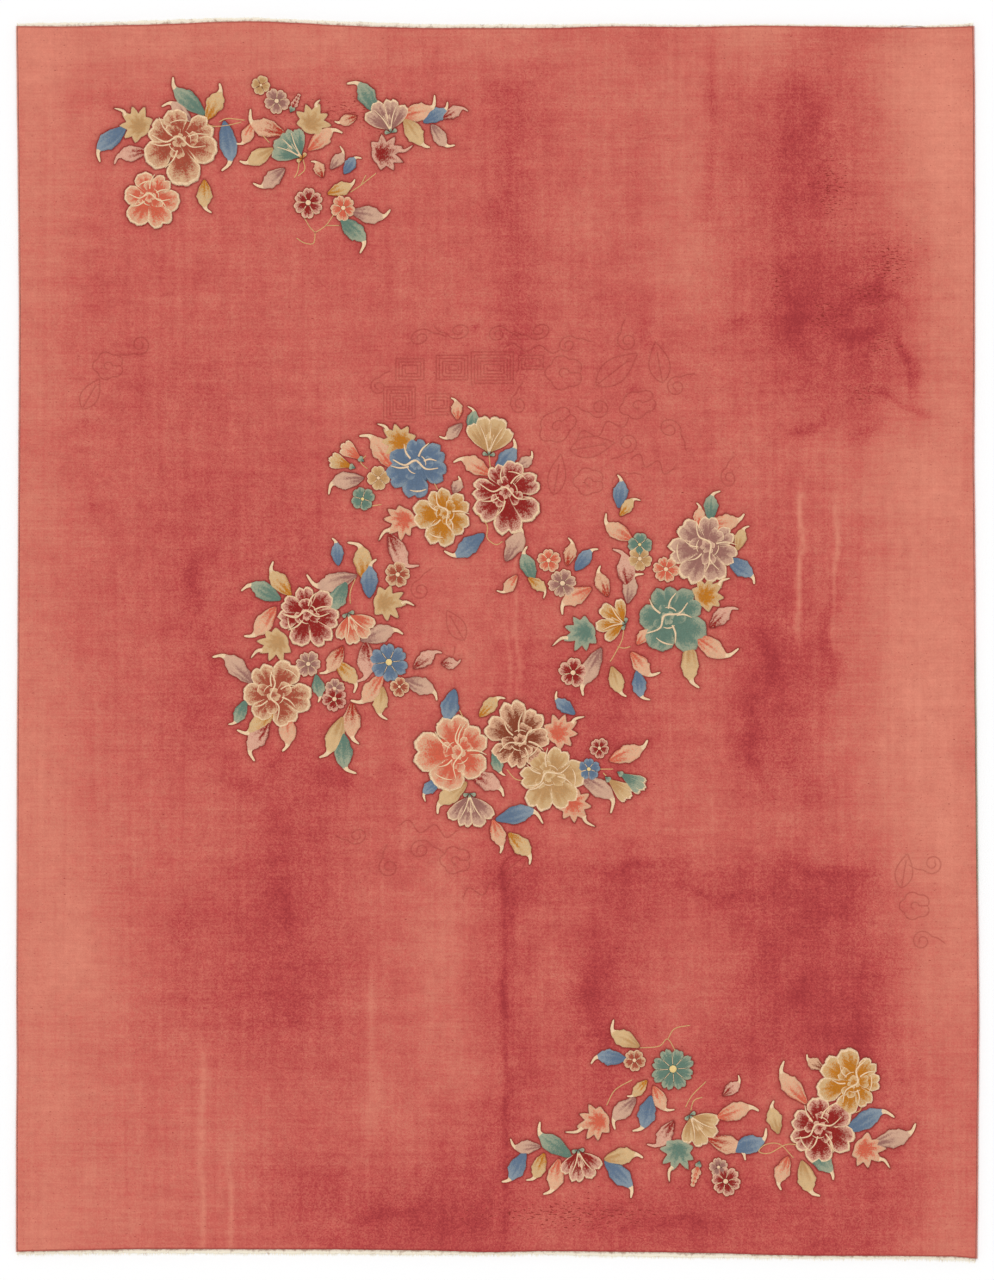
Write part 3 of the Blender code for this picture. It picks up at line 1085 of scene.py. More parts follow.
def spray(text, chance, rise):
    """Every leaf, flower and stem of one layout table, gathered as raised wool."""
    wool = Wool(rise)
    words = [line.split() for line in text.strip().split("\n")]
    order = {"stem": 0, "leaf": 1, "maple": 2, "spike": 3, "bud": 3, "side": 4, "blossom": 5, "peony": 6}
    rows = sorted(words, key=lambda row: order[row[0].rstrip("456789")])
    for number, row in enumerate(rows):
        kind, dye = row[0], row[1]
        values = [float(word) / 100.0 for word in row[2:]]
        place = np.array(values[:2])
        layer = 0.25 * (number % 4)
        if kind == "stem":
            ribbon(wool, np.array(values).reshape(-1, 2), 0.0040, "stem", 0.0, (0.8, 0.9, 0.8))
        elif kind == "leaf":
            leaf(wool, dye, place, np.array(values[2:4]), chance, layer)
        elif kind == "maple":
            star(wool, dye, place, np.array(values[2:4]), chance, layer + 0.5)
        elif kind == "side":
            side_flower(wool, dye, place, np.array(values[2:4]), values[4], chance, layer + 1.5)
        elif kind == "bud":
            bud(wool, dye, place, np.array(values[2:4]), layer + 1.0)
        elif kind == "spike":
            spike(wool, dye, place, np.array(values[2:4]), layer + 1.0)
        elif kind == "peony":
            peony(wool, dye, place, values[2], chance, layer + 2.0)
        else:
            blossom(wool, dye, place, values[2], int(kind[-1]), chance, layer + 2.0)
    return wool


@lru_cache(maxsize=None)
def drawn_sprays(rise):
    """All sprays, drawn once in a fixed order with a fixed seed."""
    chance = np.random.default_rng(SEED)
    return {name: spray(text, chance, rise) for name, text in SPRAYS.items()}

# ---------------------------------------------------------------- carved tone-on-tone work


def fret(x, y, width, height, turn):
    """A squared spiral, as a run of corners from the outside in."""
    pitch = 0.9
    left, right, low, high = -width / 2, width / 2, -height / 2, height / 2
    corners = [(left, low)]
    while right - left > pitch and high - low > pitch:
        corners += [(left, high), (right, high), (right, low), (left + pitch, low)]
        left, right, low, high = left + pitch, right - pitch, low + pitch, high - pitch
        corners[-1] = (left, low - pitch)
        corners.append((left, low))
    return placed(corners, x, y, turn)


def scroll(x, y, width, height, turn):
    """A cloud scroll: a turn and a half that tightens, with a short tail."""
    steps = np.linspace(0.0, 1.0, 26)
    angle = steps * 2.9 * math.pi
    reach = (1.0 - 0.74 * steps) / 2.0
    run = [(0.95 * width, -0.42 * height), (0.78 * width, -0.16 * height), (0.60 * width, -0.02 * height)]
    run += [(width * r * math.cos(a + 0.15), height * r * math.sin(a + 0.15)) for r, a in zip(reach, angle)]
    return placed(smooth_run(run, 80), x, y, turn)


def lobes(x, y, width, height, turn):
    """The outline of an open flower: five soft lobes and a small round in the middle."""
    angle = np.linspace(0.0, 2 * math.pi, 60)
    reach = 0.40 + 0.10 * np.abs(np.sin(angle * 2.5))
    outer = np.stack([width * reach * np.cos(angle), height * reach * np.sin(angle)], axis=1)
    inner = np.stack([width * 0.13 * np.cos(angle), height * 0.13 * np.sin(angle)], axis=1)
    return placed(np.vstack([outer, inner[:40]]), x, y, turn)


def blade(x, y, width, height, turn):
    """The outline of a pointed leaf with its middle vein."""
    steps = np.linspace(0.0, 1.0, 16)
    bulge = 0.5 * height * np.sin(math.pi * steps ** 0.8)
    along = width * (steps - 0.5)
    run = list(zip(along, bulge)) + list(zip(along[::-1], -bulge[::-1])) + [(along[0], 0.0), (along[11], 0.0)]
    return placed(run, x, y, turn)


def wave(x, y, width, height, turn):
    """A trailing vine: two easy bends."""
    steps = np.linspace(-0.5, 0.5, 30)
    return placed([(width * s, height * 0.5 * math.sin(s * 4.2 * math.pi)) for s in steps], x, y, turn)


def placed(run, x, y, turn):
    """A run of points in centimetres, turned and moved to its place in metres."""
    angle = math.radians(turn)
    cos, sin = math.cos(angle), math.sin(angle)
    run = np.array(run) / 100.0
    return np.stack([run[:, 0] * cos - run[:, 1] * sin + x / 100.0,
                     run[:, 0] * sin + run[:, 1] * cos + y / 100.0], axis=1)


def stepped(run, step, closed=False):
    """The same run with its points an even step apart."""
    if closed:
        run = np.vstack([run, run[:1]])
    lengths = np.concatenate([[0.0], np.cumsum(np.linalg.norm(np.diff(run, axis=0), axis=1))])
    count = max(2, int(lengths[-1] / step))
    places = np.linspace(0.0, lengths[-1], count + 1)
    if closed:
        places = places[:-1]
    return np.stack([np.interp(places, lengths, run[:, k]) for k in (0, 1)], axis=1)


def beside(run, gap, closed=False):
    """The same points moved a little to the right of the way they run."""
    if closed:
        along = np.roll(run, -1, axis=0) - np.roll(run, 1, axis=0)
    else:
        along = np.gradient(run, axis=0)
    along /= np.linalg.norm(along, axis=1)[:, None] + 1e-9
    return run + np.stack([along[:, 1], -along[:, 0]], axis=1) * gap


def fine_lines():
    """Every carved tone-on-tone line, with its points a groove's step apart."""
    shapes = {"fret": fret, "scroll": scroll, "lobes": lobes, "blade": blade, "wave": wave}
    sizes = ("x", "y", "width", "height", "turn")
    return [stepped(shapes[row["kind"]](*[row[size] for size in sizes]), GROOVE_STEP)
            for row in table(CARVED_WORK)]


class Covered:
    """Which small cells of the carpet lie under a raised motif."""

    def __init__(self, outlines):
        self.low = np.array(PILE_LOW[:2]) - 0.02
        size = np.ceil((np.array(PILE_HIGH[:2]) + 0.02 - self.low) / CELL).astype(int)
        self.cells = np.zeros(size, bool)
        for loop in outlines:
            self.mark(loop)

    def mark(self, loop):
        """Mark the cells whose middles lie inside a loop."""
        first = np.floor((loop.min(0) - self.low) / CELL).astype(int)
        last = np.ceil((loop.max(0) - self.low) / CELL).astype(int)
        x = self.low[0] + (np.arange(first[0], last[0]) + 0.5) * CELL
        y = self.low[1] + (np.arange(first[1], last[1]) + 0.5) * CELL
        gx, gy = np.meshgrid(x, y, indexing="ij")
        inside = np.zeros(gx.shape, bool)
        for (ax, ay), (bx, by) in zip(loop, np.roll(loop, -1, axis=0)):
            if ay != by:
                crosses = ((ay > gy) != (by > gy)) & (gx < (bx - ax) * (gy - ay) / (by - ay) + ax)
                inside ^= crosses
        self.cells[first[0]:last[0], first[1]:last[1]] |= inside

    def at(self, points):
        """True for each point that lies under a motif."""
        index = np.floor((points - self.low) / CELL).astype(int)
        index = np.clip(index, 0, np.array(self.cells.shape) - 1)
        return self.cells[index[:, 0], index[:, 1]]


def nearest(points, targets):
    """Distance from each point to the nearest target, both flat."""
    tree = kdtree.KDTree(len(targets))
    for index, (x, y) in enumerate(targets):
        tree.insert((x, y, 0.0), index)
    tree.balance()
    return np.array([tree.find((x, y, 0.0))[2] for x, y in points])


def field_tone(points):
    """Broad tone of the dyed wool at each point, from the tables of tones, stains and worn lines; the creases
    among the stains are painted shade.
    """
    x, y = points.T * 100.0
    drift_x = 1.3 * np.sin(y / 6.1) + 0.9 * np.sin(y / 2.7 + 1.0) + 1.5 * np.sin(y / 17.0 + x / 40.0)
    drift_y = 1.2 * np.sin(x / 5.3 + 2.0) + 0.8 * np.sin(x / 2.3) + 1.6 * np.sin(x / 15.0 - y / 30.0)
    x, y = x + drift_x, y + drift_y
    tone = np.zeros(len(points))
    for row in table(FIELD_TONES):
        soft = row["soft"] * 1.8
        share = smooth(-soft, soft, x - row["left"]) * smooth(-soft, soft, row["right"] - x)
        tone += (row["tone"] * share * smooth(-soft, soft, y - row["low"])
                 * smooth(-soft, soft, row["high"] - y))
    # Real stains, and the painted shade of creases, both as deeper tone.
    for row in table(STAINS_AND_CREASE_SHADE):
        tone += row["tone"] * oval(x, y, row, 1.3)
    for row in table(WORN_LINES):
        away = (x - row["x"] - 0.75 * drift_x) / row["half_w"]
        above = smooth(row["low"] - 6, row["low"] + 6, y)
        reach = above * (1 - smooth(row["high"] - 6, row["high"] + 6, y))
        tone += row["tone"] * np.exp(-away ** 2) * reach
    return tone


def oval(x, y, row, power):
    """1 in the middle of a turned oval and 0 well outside it, for places in centimetres."""
    angle = math.radians(row.get("turn", 0.0))
    dx, dy = x - row["x"], y - row["y"]
    across_it = (dx * math.cos(angle) + dy * math.sin(angle)) / row["half_w"]
    along_it = (dy * math.cos(angle) - dx * math.sin(angle)) / row["half_h"]
    return np.exp(-(across_it ** 2 + along_it ** 2) ** power)


def stain_points():
    """Closer points round each small stain and each painted crease shade."""
    places = []
    for row in table(STAINS_AND_CREASE_SHADE):
        angle = math.radians(row["turn"])
        gap = max(0.5, min(row["half_w"], row["half_h"]) * 0.45)
        if gap > 1.7:
            continue
        u = np.arange(-1.9 * row["half_w"], 1.9 * row["half_w"] + gap, gap)
        v = np.arange(-1.7 * row["half_h"], 1.7 * row["half_h"] + gap, max(gap, 0.25 * row["half_h"]))
        u, v = [part.reshape(-1) for part in np.meshgrid(u, v)]
        places.append(np.stack([row["x"] + u * math.cos(angle) - v * math.sin(angle),
                                row["y"] + u * math.sin(angle) + v * math.cos(angle)], axis=1) / 100.0)
    return np.concatenate(places)


def field_points(outlines, cover):
    """Flat places for the pile's points: an even grid, the carved lines and the rings beside them."""
    grid = even_grid(GRID_INSET, GRID_MARGIN, FIELD_STEP, FIELD_STEP / 2.0)
    edges, lips = [], []
    for loop in outlines:
        line = stepped(loop, GROOVE_STEP, closed=True)
        sign = 1.0 if loop_area(loop) > 0 else -1.0
        bed = beside(line, GROOVE_BED * sign, closed=True)
        lip = beside(line, GROOVE_LIP * sign, closed=True)
        open_bed = ~cover.at(beside(line, GROOVE_PROBE * sign, closed=True))
        edges.append(bed[open_bed])
        lips.append(lip[open_bed & ~cover.at(lip)])
    carved = np.concatenate(edges)
    lines = np.concatenate(fine_lines())
    lines = lines[~cover.at(lines)]
    sides = np.concatenate([beside(line, gap) for line in fine_lines() for gap in (-FINE_SIDE, FINE_SIDE)])
    worn = [np.stack([np.full(40, row["x"] + dx * row["half_w"]),
                      np.linspace(row["low"], row["high"], 40)], axis=1)
            for row in table(WORN_LINES) for dx in (-1.6, 0.0, 1.6)]
    worn = np.concatenate(worn) / 100.0
    grid = np.concatenate([grid, worn, stain_points()])
    grid = grid[nearest(grid, np.concatenate([carved, lines])) > CARVE_CLEAR]
    loose = np.concatenate([np.concatenate(lips), sides[~cover.at(sides)], grid])
    loose = loose[OUTLINE.inside(loose[:, 0], loose[:, 1]) > GRID_MARGIN]
    loose = np.concatenate([OUTLINE.ring(END_SHADE_WIDTH, EDGE_STEP), loose])
    carved = carved[OUTLINE.inside(carved[:, 0], carved[:, 1]) > GRID_MARGIN]
    return carved, lines, loose


def loop_area(loop):
    """Signed area of a flat loop, positive when it runs counter-clockwise."""
    x, y = loop.T
    return 0.5 * float(np.sum(x * np.roll(y, -1) - y * np.roll(x, -1)))


def bridges(points, face, rank):
    """True for a triangle that only spans a hollow of the outer loop, outside it."""
    if not all(index in rank for index in face):
        return False
    a, b, c = points[sorted(face, key=rank.get)]
    return (b[0] - a[0]) * (c[1] - a[1]) - (b[1] - a[1]) * (c[0] - a[0]) <= 0.0


def filled(flat, count):
    """Triangles that fill the closed loop of the first count points, through all the others inside it."""
    border = [(i, (i + 1) % count) for i in range(count)]
    points, _, faces, origin, _, _ = geometry.delaunay_2d_cdt(
        [Vector(p) for p in flat], border, [list(range(count))], 1, 1e-6, True)
    points = np.array([tuple(p) for p in points])
    rank = {index: min(sources) for index, sources in enumerate(origin) if sources and min(sources) < count}
    return points, np.array([face for face in faces if not bridges(points, face, rank)]), rank


def pile_mesh(sizes):
    """The whole pile as one closed carved sheet, flat below."""
    outlines = [loop for wool in drawn_sprays(sizes.motif_rise).values() for loop in wool.outlines]
    cover = Covered(outlines)
    rings = [(0.0, PILE_LOW[2]), (0.0, PILE_HIGH[2] - 0.0032), (0.0011, PILE_HIGH[2] - 0.0013),
             (0.0034, PILE_HIGH[2] - 0.0002)]
    loops = [OUTLINE.ring(inset, EDGE_STEP) for inset, _ in rings]
    count = len(loops[0])
    carved, lines, loose = field_points(outlines, cover)
    flat = np.concatenate([loops[-1], carved, lines, loose])
    points, faces, rank = filled(flat, count)
    edge_index = np.array(sorted(rank, key=rank.get))
    distance = nearest(points, carved)
    under = cover.at(points)
    groove = np.where(under, 1.0, np.exp(-(distance / CARVE_WIDTH) ** 2))
    fine = np.exp(-(nearest(points, lines) / FINE_CARVE_WIDTH) ** 2) * ~under
    inside = OUTLINE.inside(points[:, 0], points[:, 1])
    shoulder = 0.0002 * (inside < 0.006)
    nap = (0.00025 * np.sin(points[:, 0] * 23.0 + 1.3 * np.sin(points[:, 1] * 9.0))
           * np.sin(points[:, 1] * 17.0))
    nap = nap * smooth(0.004, 0.05, inside)
    z = PILE_HIGH[2] - shoulder - nap.clip(0) - sizes.groove * groove - FINE_CARVE_DEPTH * fine
    z[edge_index] = rings[-1][1]
    top = np.column_stack([points, z])
    around = np.arange(count)
    after = (around + 1) % count
    walls = [np.column_stack([loop, np.full(count, height)])
             for loop, (_, height) in zip(loops[:-1], rings[:-1])]
    base = len(top)
    sides = []
    for k in range(2):
        sides.append(band(base + k * count, base + (k + 1) * count, count))
    last = base + 2 * count
    sides.append(np.stack([last + around, last + after, edge_index[after], edge_index[around]], axis=1))
    under_grid = even_grid(UNDER_INSET, UNDER_MARGIN, UNDER_STEP, 0.0)
    under_flat, under_faces, under_rank = filled(np.concatenate([loops[0], under_grid]), count)
    start = base + 3 * count
    place = {index: base + source for index, source in under_rank.items()}
    extra = [index for index in range(len(under_flat)) if index not in place]
    place.update({index: start + k for k, index in enumerate(extra)})
    floor_points = np.array([(*under_flat[index], PILE_LOW[2]) for index in extra])
    floor_faces = np.array([[place[i] for i in face][::-1] for face in under_faces])
    mesh = bpy.data.meshes.new("carved_pile")
    fill_mesh(mesh, np.concatenate([top] + walls + [floor_points]), [faces, *sides, floor_faces])
    everywhere = mesh_points(mesh)
    set_share(mesh, "tone", field_tone(everywhere[:, :2]))
    low_knots = np.max([oval(*(everywhere[:, :2].T * 100.0), row, 1.0) for row in table(LOW_KNOTS)], axis=0)
    set_share(mesh, "low_knots", low_knots)
    # Painted shade, stored in the carve share: the end wall's shade at both ends, the shade in the grooves
    # round the motifs and under them, and in the fine carved lines.
    shade = 1.2 * end_shade(everywhere)
    shade[:len(top)] += np.maximum(np.where(under, 0.8, np.exp(-(distance / 0.0040) ** 2)), 0.5 * fine)
    set_share(mesh, "carve", shade)
    return linked("carved_pile", mesh)


def end_shade(points):
    """Painted shade of the pile's end wall, with the darker base of the last knots: 1 at the two ends of the
    pile, where the last knots stand over the bare web, and 0 just inside.
    """
    x, y = points[:, 0], points[:, 1]
    from_end = np.minimum(y - OUTLINE.low_y(x), OUTLINE.high_y(x) - y)
    return 0.5 * (1.0 - smooth(0.5 * END_SHADE_WIDTH, 0.9 * END_SHADE_WIDTH, from_end))


def even_grid(start, margin, step, stagger):
    """Flat points an even step apart over the pile, every other row of them shifted by the stagger."""
    xs, ys = [np.arange(PILE_LOW[k] + start, PILE_HIGH[k] - margin, step) for k in (0, 1)]
    gx, gy = np.meshgrid(xs, ys, indexing="ij")
    gx = gx + (np.arange(len(ys)) % 2)[None, :] * stagger
    return np.stack([gx.reshape(-1), gy.reshape(-1)], axis=1)


# ---------------------------------------------------------------- edge runs from the frame


def cord_run(node):
    """The middle line of a side cord, from the highest points of its CAD solid."""
    points = node_points(node)
    ridge = points[points[:, 2] > points[:, 2].max() - 0.0003]
    return ridge[np.argsort(ridge[:, 1])][:, :2]


def web_run(node):
    """X, low y and high y of an end web's stations along its CAD solid."""
    points = node_points(node)
    upper = points[points[:, 2] > 0.001]
    xs = np.unique(upper[:, 0].round(4))
    rows = [upper[np.abs(upper[:, 0] - x) < 0.0005] for x in xs]
    return xs, np.array([row[:, 1].min() for row in rows]), np.array([row[:, 1].max() for row in rows])


# ---------------------------------------------------------------- node building


def add_node(tree, kind, inputs=None, **settings):
    """A new node whose settings and inputs are given; an input may be another node's socket."""
    new = tree.nodes.new(kind)
    for name, value in settings.items():
        setattr(new, name, value)
    for key, value in (inputs or {}).items():
        if isinstance(value, bpy.types.NodeSocket):
            tree.links.new(value, new.inputs[key])
        else:
            new.inputs[key].default_value = value
    return new


def reckon(tree, operation, *values):
    """The result of a Math node."""
    return add_node(tree, "ShaderNodeMath", dict(enumerate(values)), operation=operation).outputs[0]


def mapped(tree, value, low, high, to_low=0.0, to_high=1.0, smooth_step=False):
    """A value carried from one range to another, clamped."""
    return add_node(tree, "ShaderNodeMapRange",
                    {"Value": value, "From Min": low, "From Max": high, "To Min": to_low, "To Max": to_high},
                    interpolation_type="SMOOTHSTEP" if smooth_step else "LINEAR").outputs["Result"]


def mixed(tree, share, a, b):
    """Two colours mixed."""
    return add_node(tree, "ShaderNodeMix", {"Factor": share, 6: a, 7: b}, data_type="RGBA",
                    clamp_factor=True).outputs[2]


def noise(tree, place, scale, detail, rough=0.5):
    """The value of a soft random texture."""
    return add_node(tree, "ShaderNodeTexNoise", {"Vector": place, "Scale": scale, "Detail": detail,
                                                 "Roughness": rough}).outputs["Fac"]


def swayed(tree, value, amount, base):
    """A base moved up or down by a value that lies round 0.5."""
    return reckon(tree, "MULTIPLY_ADD", reckon(tree, "SUBTRACT", value, 0.5), amount, base)


def attribute(tree, name, output="Fac"):
    """A socket that reads one of the mesh's own attributes."""
    return add_node(tree, "ShaderNodeAttribute", attribute_name=name).outputs[output]


def object_place(tree):
    """The Object coordinates of a surface point."""
    return add_node(tree, "ShaderNodeTexCoord").outputs["Object"]


def new_group(name, inputs, outputs, kind="ShaderNodeTree"):
    """An empty node group with its sockets, and its two end nodes."""
    tree = bpy.data.node_groups.new(name, kind)
    for label, socket_kind, value in inputs:
        socket = tree.interface.new_socket(name=label, in_out="INPUT", socket_type=socket_kind)
        if value is not None:
            socket.default_value = value
    for label, socket_kind in outputs:
        tree.interface.new_socket(name=label, in_out="OUTPUT", socket_type=socket_kind)
    return tree, tree.nodes.new("NodeGroupInput"), tree.nodes.new("NodeGroupOutput")


def fed_group(tree, group, inputs):
    """A group node with its inputs fed."""
    return add_node(tree, "ShaderNodeGroup", inputs, node_tree=group)


@lru_cache(maxsize=None)
def knot_group():
    """Cut knots of pile: a random value for each knot and the height of its tuft."""
    tree, start, end = new_group(
        "cut_knots",
        (("Place", "NodeSocketVector", None), ("Knot", "NodeSocketFloat", KNOT)),
        (("Value", "NodeSocketFloat"), ("Height", "NodeSocketFloat"), ("Patch", "NodeSocketFloat")))
    scale = reckon(tree, "DIVIDE", 1.0, start.outputs["Knot"])
    cells = add_node(tree, "ShaderNodeTexVoronoi", {"Vector": start.outputs["Place"], "Scale": scale,
                                                   "Randomness": 0.72}, voronoi_dimensions="2D")
    value = add_node(tree, "ShaderNodeSeparateColor", {"Color": cells.outputs["Color"]})
    tuft = mapped(tree, cells.outputs["Distance"], 0.0, 0.75, 1.0, 0.0, True)
    fibre = noise(tree, start.outputs["Place"], 900.0, 2.0)
    height = reckon(tree, "ADD", tuft, reckon(tree, "MULTIPLY", fibre, 0.5))
    patch = noise(tree, start.outputs["Place"], 42.0, 3.0, 0.6)
    tree.links.new(value.outputs["Red"], end.inputs["Value"])
    tree.links.new(height, end.inputs["Height"])
    tree.links.new(patch, end.inputs["Patch"])
    return tree


@lru_cache(maxsize=None)
def streak_group():
    """Abrash and nap: faint bands along the wefts, fainter ones along the warps, and soft clouds."""
    tree, start, end = new_group(
        "abrash_and_nap",
        (("Place", "NodeSocketVector", None),),
        (("Bands", "NodeSocketFloat"), ("Lines", "NodeSocketFloat"), ("Clouds", "NodeSocketFloat"),
         ("Rows", "NodeSocketFloat"), ("Stains", "NodeSocketFloat"), ("Dashes", "NodeSocketFloat")))
    for output, scale, detail, rough in (
            ("Bands", (1.6, 26.0, 1.0), 3.0, 0.6), ("Lines", (60.0, 1.2, 1.0), 3.0, 0.65),
            ("Clouds", (4.0, 3.2, 1.0), 4.0, 0.62), ("Rows", (9.0, 150.0, 1.0), 2.0, 0.5),
            ("Stains", (17.0, 10.0, 1.0), 6.0, 0.70), ("Dashes", (75.0, 240.0, 1.0), 1.0, 0.5)):
        stretched = add_node(tree, "ShaderNodeMapping", {"Vector": start.outputs["Place"], "Scale": scale})
        tree.links.new(noise(tree, stretched.outputs["Vector"], 1.0, detail, rough), end.inputs[output])
    return tree


def new_material(name):
    """A material with an empty tree, its Principled shader and its output."""
    material = bpy.data.materials.new(name)
    material.use_nodes = True
    tree = material.node_tree
    tree.nodes.clear()
    shader = tree.nodes.new("ShaderNodeBsdfPrincipled")
    output = tree.nodes.new("ShaderNodeOutputMaterial")
    tree.links.new(shader.outputs["BSDF"], output.inputs["Surface"])
    return material, tree, shader


def finish_wool(tree, shader, colour, height, strength, distance, roughness=0.93, sheen=0.10):
    """Feed a wool surface: colour, tuft relief, a dry roughness and a faint nap sheen."""
    bump = add_node(tree, "ShaderNodeBump", {"Height": height, "Strength": strength, "Distance": distance})
    tree.links.new(bump.outputs["Normal"], shader.inputs["Normal"])
    tree.links.new(colour, shader.inputs["Base Color"])
    shader.inputs["Roughness"].default_value = roughness
    shader.inputs["Specular IOR Level"].default_value = 0.12
    shader.inputs["Sheen Weight"].default_value = sheen
    shader.inputs["Sheen Roughness"].default_value = 0.45


def shifted(tree, colour, value, amount):
    """A colour made a little lighter or darker by a value round 0.5."""
    factor = swayed(tree, value, amount, 1.0)
    return add_node(tree, "ShaderNodeVectorMath", {0: colour, "Scale": factor},
                    operation="SCALE").outputs["Vector"]


def field_material(dyes):
    """The rose field: broad tones, abrash, clouds, single knots, and the painted shade of the carved lines
    and the pile's ends.
    """
    material, tree, shader = new_material("rose_field_pile")
    place = object_place(tree)
    knots = fed_group(tree, knot_group(), {"Place": place, "Knot": KNOT})
    streaks = fed_group(tree, streak_group(), {"Place": place})
    broad = attribute(tree, "tone")
    tone = swayed(tree, streaks.outputs["Stains"], mapped(tree, broad, -0.3, 0.6, 0.45, 1.15), broad)
    for output, amount in (("Bands", 0.50), ("Lines", 0.50), ("Clouds", 0.80), ("Rows", 0.46)):
        tone = swayed(tree, streaks.outputs[output], amount, tone)
    tone = swayed(tree, knots.outputs["Value"], mapped(tree, broad, -0.3, 0.4, 0.24, 0.62), tone)
    ramp = add_node(tree, "ShaderNodeValToRGB", {"Fac": mapped(tree, tone, -1.0, 1.0)})
    stops = ramp.color_ramp.elements
    colours = (dyes.salmon, dyes.peachrose, dyes.rose, dyes.abrash, dyes.deep_rose)
    while len(stops) < len(colours):
        stops.new(0.5)
    for index, colour in enumerate(colours):
        stops[index].position = index / (len(colours) - 1)
        stops[index].color = (*colour, 1.0)
    # Painted shade: the carve share darkens grooves, carved lines and the pile's ends toward the carved-line
    # colour, more in some patches than in others.
    patchy_groove_shade = mapped(tree, knots.outputs["Patch"], 0.3, 0.6, 0.58, 1.0)
    carve = reckon(tree, "MULTIPLY", attribute(tree, "carve"), patchy_groove_shade)
    colour = mixed(tree, carve, ramp.outputs["Color"], (*dyes.carved, 1.0))
    speck = reckon(tree, "GREATER_THAN", knots.outputs["Value"], SHARPEST_KNOT)
    colour = mixed(tree, reckon(tree, "MULTIPLY", speck, 0.22), colour, (*dyes.carved, 1.0))
    low = reckon(tree, "MULTIPLY", attribute(tree, "low_knots"), 0.172)
    low = reckon(tree, "ADD", streaks.outputs["Dashes"], low)
    colour = mixed(tree, mapped(tree, low, 0.745, 0.785, 0.0, 0.9), colour, (*dyes.carved, 1.0))
    colour = shifted(tree, colour, knots.outputs["Patch"], 0.22)
    finish_wool(tree, shader, colour, knots.outputs["Height"], 0.7, 0.0007)
    return material


def motif_material(dyes):
    """The dyed wools of the flowers and leaves, shaded knot by knot from heart to edge."""
    material, tree, shader = new_material("flower_and_leaf_pile")
    place = object_place(tree)
    knots = fed_group(tree, knot_group(), {"Place": place, "Knot": KNOT * 0.82})
    jitter = reckon(tree, "SUBTRACT", knots.outputs["Value"], 0.5)
    heart = reckon(tree, "MULTIPLY_ADD", jitter, 0.58, attribute(tree, "heart"))
    heart = mapped(tree, heart, 0.10, 0.80, 0.0, 1.0)
    rim = reckon(tree, "MULTIPLY_ADD", jitter, 0.26, attribute(tree, "rim"))
    rim = mapped(tree, rim, 0.36, 0.64, 0.0, 1.0, True)
    colour = mixed(tree, heart, attribute(tree, "body_dye", "Color"), attribute(tree, "heart_dye", "Color"))
    colour = mixed(tree, rim, colour, attribute(tree, "tip_dye", "Color"))
    # Painted groove shade: the sunk rim of each carved motif is darkened toward the carved-line colour.
    lip = mapped(tree, reckon(tree, "MULTIPLY_ADD", jitter, 0.7, attribute(tree, "lip")), 0.66, 0.92)
    colour = mixed(tree, lip, colour, (*dyes.carved, 1.0))
    colour = shifted(tree, colour, knots.outputs["Value"], 0.20)
    colour = shifted(tree, colour, knots.outputs["Patch"], 0.26)
    finish_wool(tree, shader, colour, knots.outputs["Height"], 0.6, 0.0006)
    return material


def cord_material(name):
    """Overcast wool of a side cord: its dye along the length, plied yarn and worn tufts."""
    material, tree, shader = new_material(name)
    place = object_place(tree)
    ply = noise(tree, place, 420.0, 3.0)
    colour = shifted(tree, attribute(tree, "dye", "Color"), ply, 0.55)
    colour = shifted(tree, colour, noise(tree, place, 26.0, 4.0, 0.7), 0.7)
    finish_wool(tree, shader, colour, ply, 0.5, 0.0004)
    return material


def cotton_material(dyes):
    """Unbleached cotton of the end webs and warp ends, soiled here and there and darker next to the pile."""
    material, tree, shader = new_material("end_web_cotton")
    place = object_place(tree)
    spun = noise(tree, place, 700.0, 2.0)
    soil = noise(tree, place, 60.0, 4.0, 0.7)
    # Darker toward the edge of the pile, on top of the soiled blotches.
    near_pile = reckon(tree, "MULTIPLY_ADD", attribute(tree, "near_pile"), 0.26, soil)
    share = mapped(tree, near_pile, 0.55, 0.80, 0.0, 0.85)
    colour = mixed(tree, share, (*dyes.cotton, 1.0), (*dyes.soiled, 1.0))
    colour = shifted(tree, colour, spun, 0.30)
    finish_wool(tree, shader, colour, spun, 0.4, 0.0003, 0.88, 0.05)
    return material


# ---------------------------------------------------------------- side cords and warp ends by nodes


def geometry_tree(name, inputs):
    """An empty Geometry Nodes tree with a geometry socket at each end and named inputs."""
    sockets = (("Geometry", "NodeSocketGeometry", None), *inputs)
    return new_group(name, sockets, (("Geometry", "NodeSocketGeometry"),), "GeometryNodeTree")


def circle(tree, resolution, radius):
    """A round line."""
    return add_node(tree, "GeometryNodeCurvePrimitiveCircle",
                    {"Resolution": resolution, "Radius": radius}).outputs[0]


def lot(tree, low, high, seed):
    """A random number for each place."""
    return add_node(tree, "FunctionNodeRandomValue", {2: low, 3: high, "Seed": seed},
                    data_type="FLOAT").outputs[1]


def stations(tree, start):
    """Places along the given line, one spacing apart."""
    return add_node(tree, "GeometryNodeCurveToPoints",
                    {"Curve": start.outputs["Geometry"], "Length": start.outputs["Spacing"]},
                    mode="LENGTH").outputs["Points"]


def finish_tree(tree, end, made, material):
    """Make what was placed real, give it its material and hand it out."""
    real = add_node(tree, "GeometryNodeRealizeInstances", {0: made})
    dyed = add_node(tree, "GeometryNodeSetMaterial", {"Geometry": real.outputs[0], "Material": material})
    tree.links.new(dyed.outputs[0], end.inputs[0])
    return tree


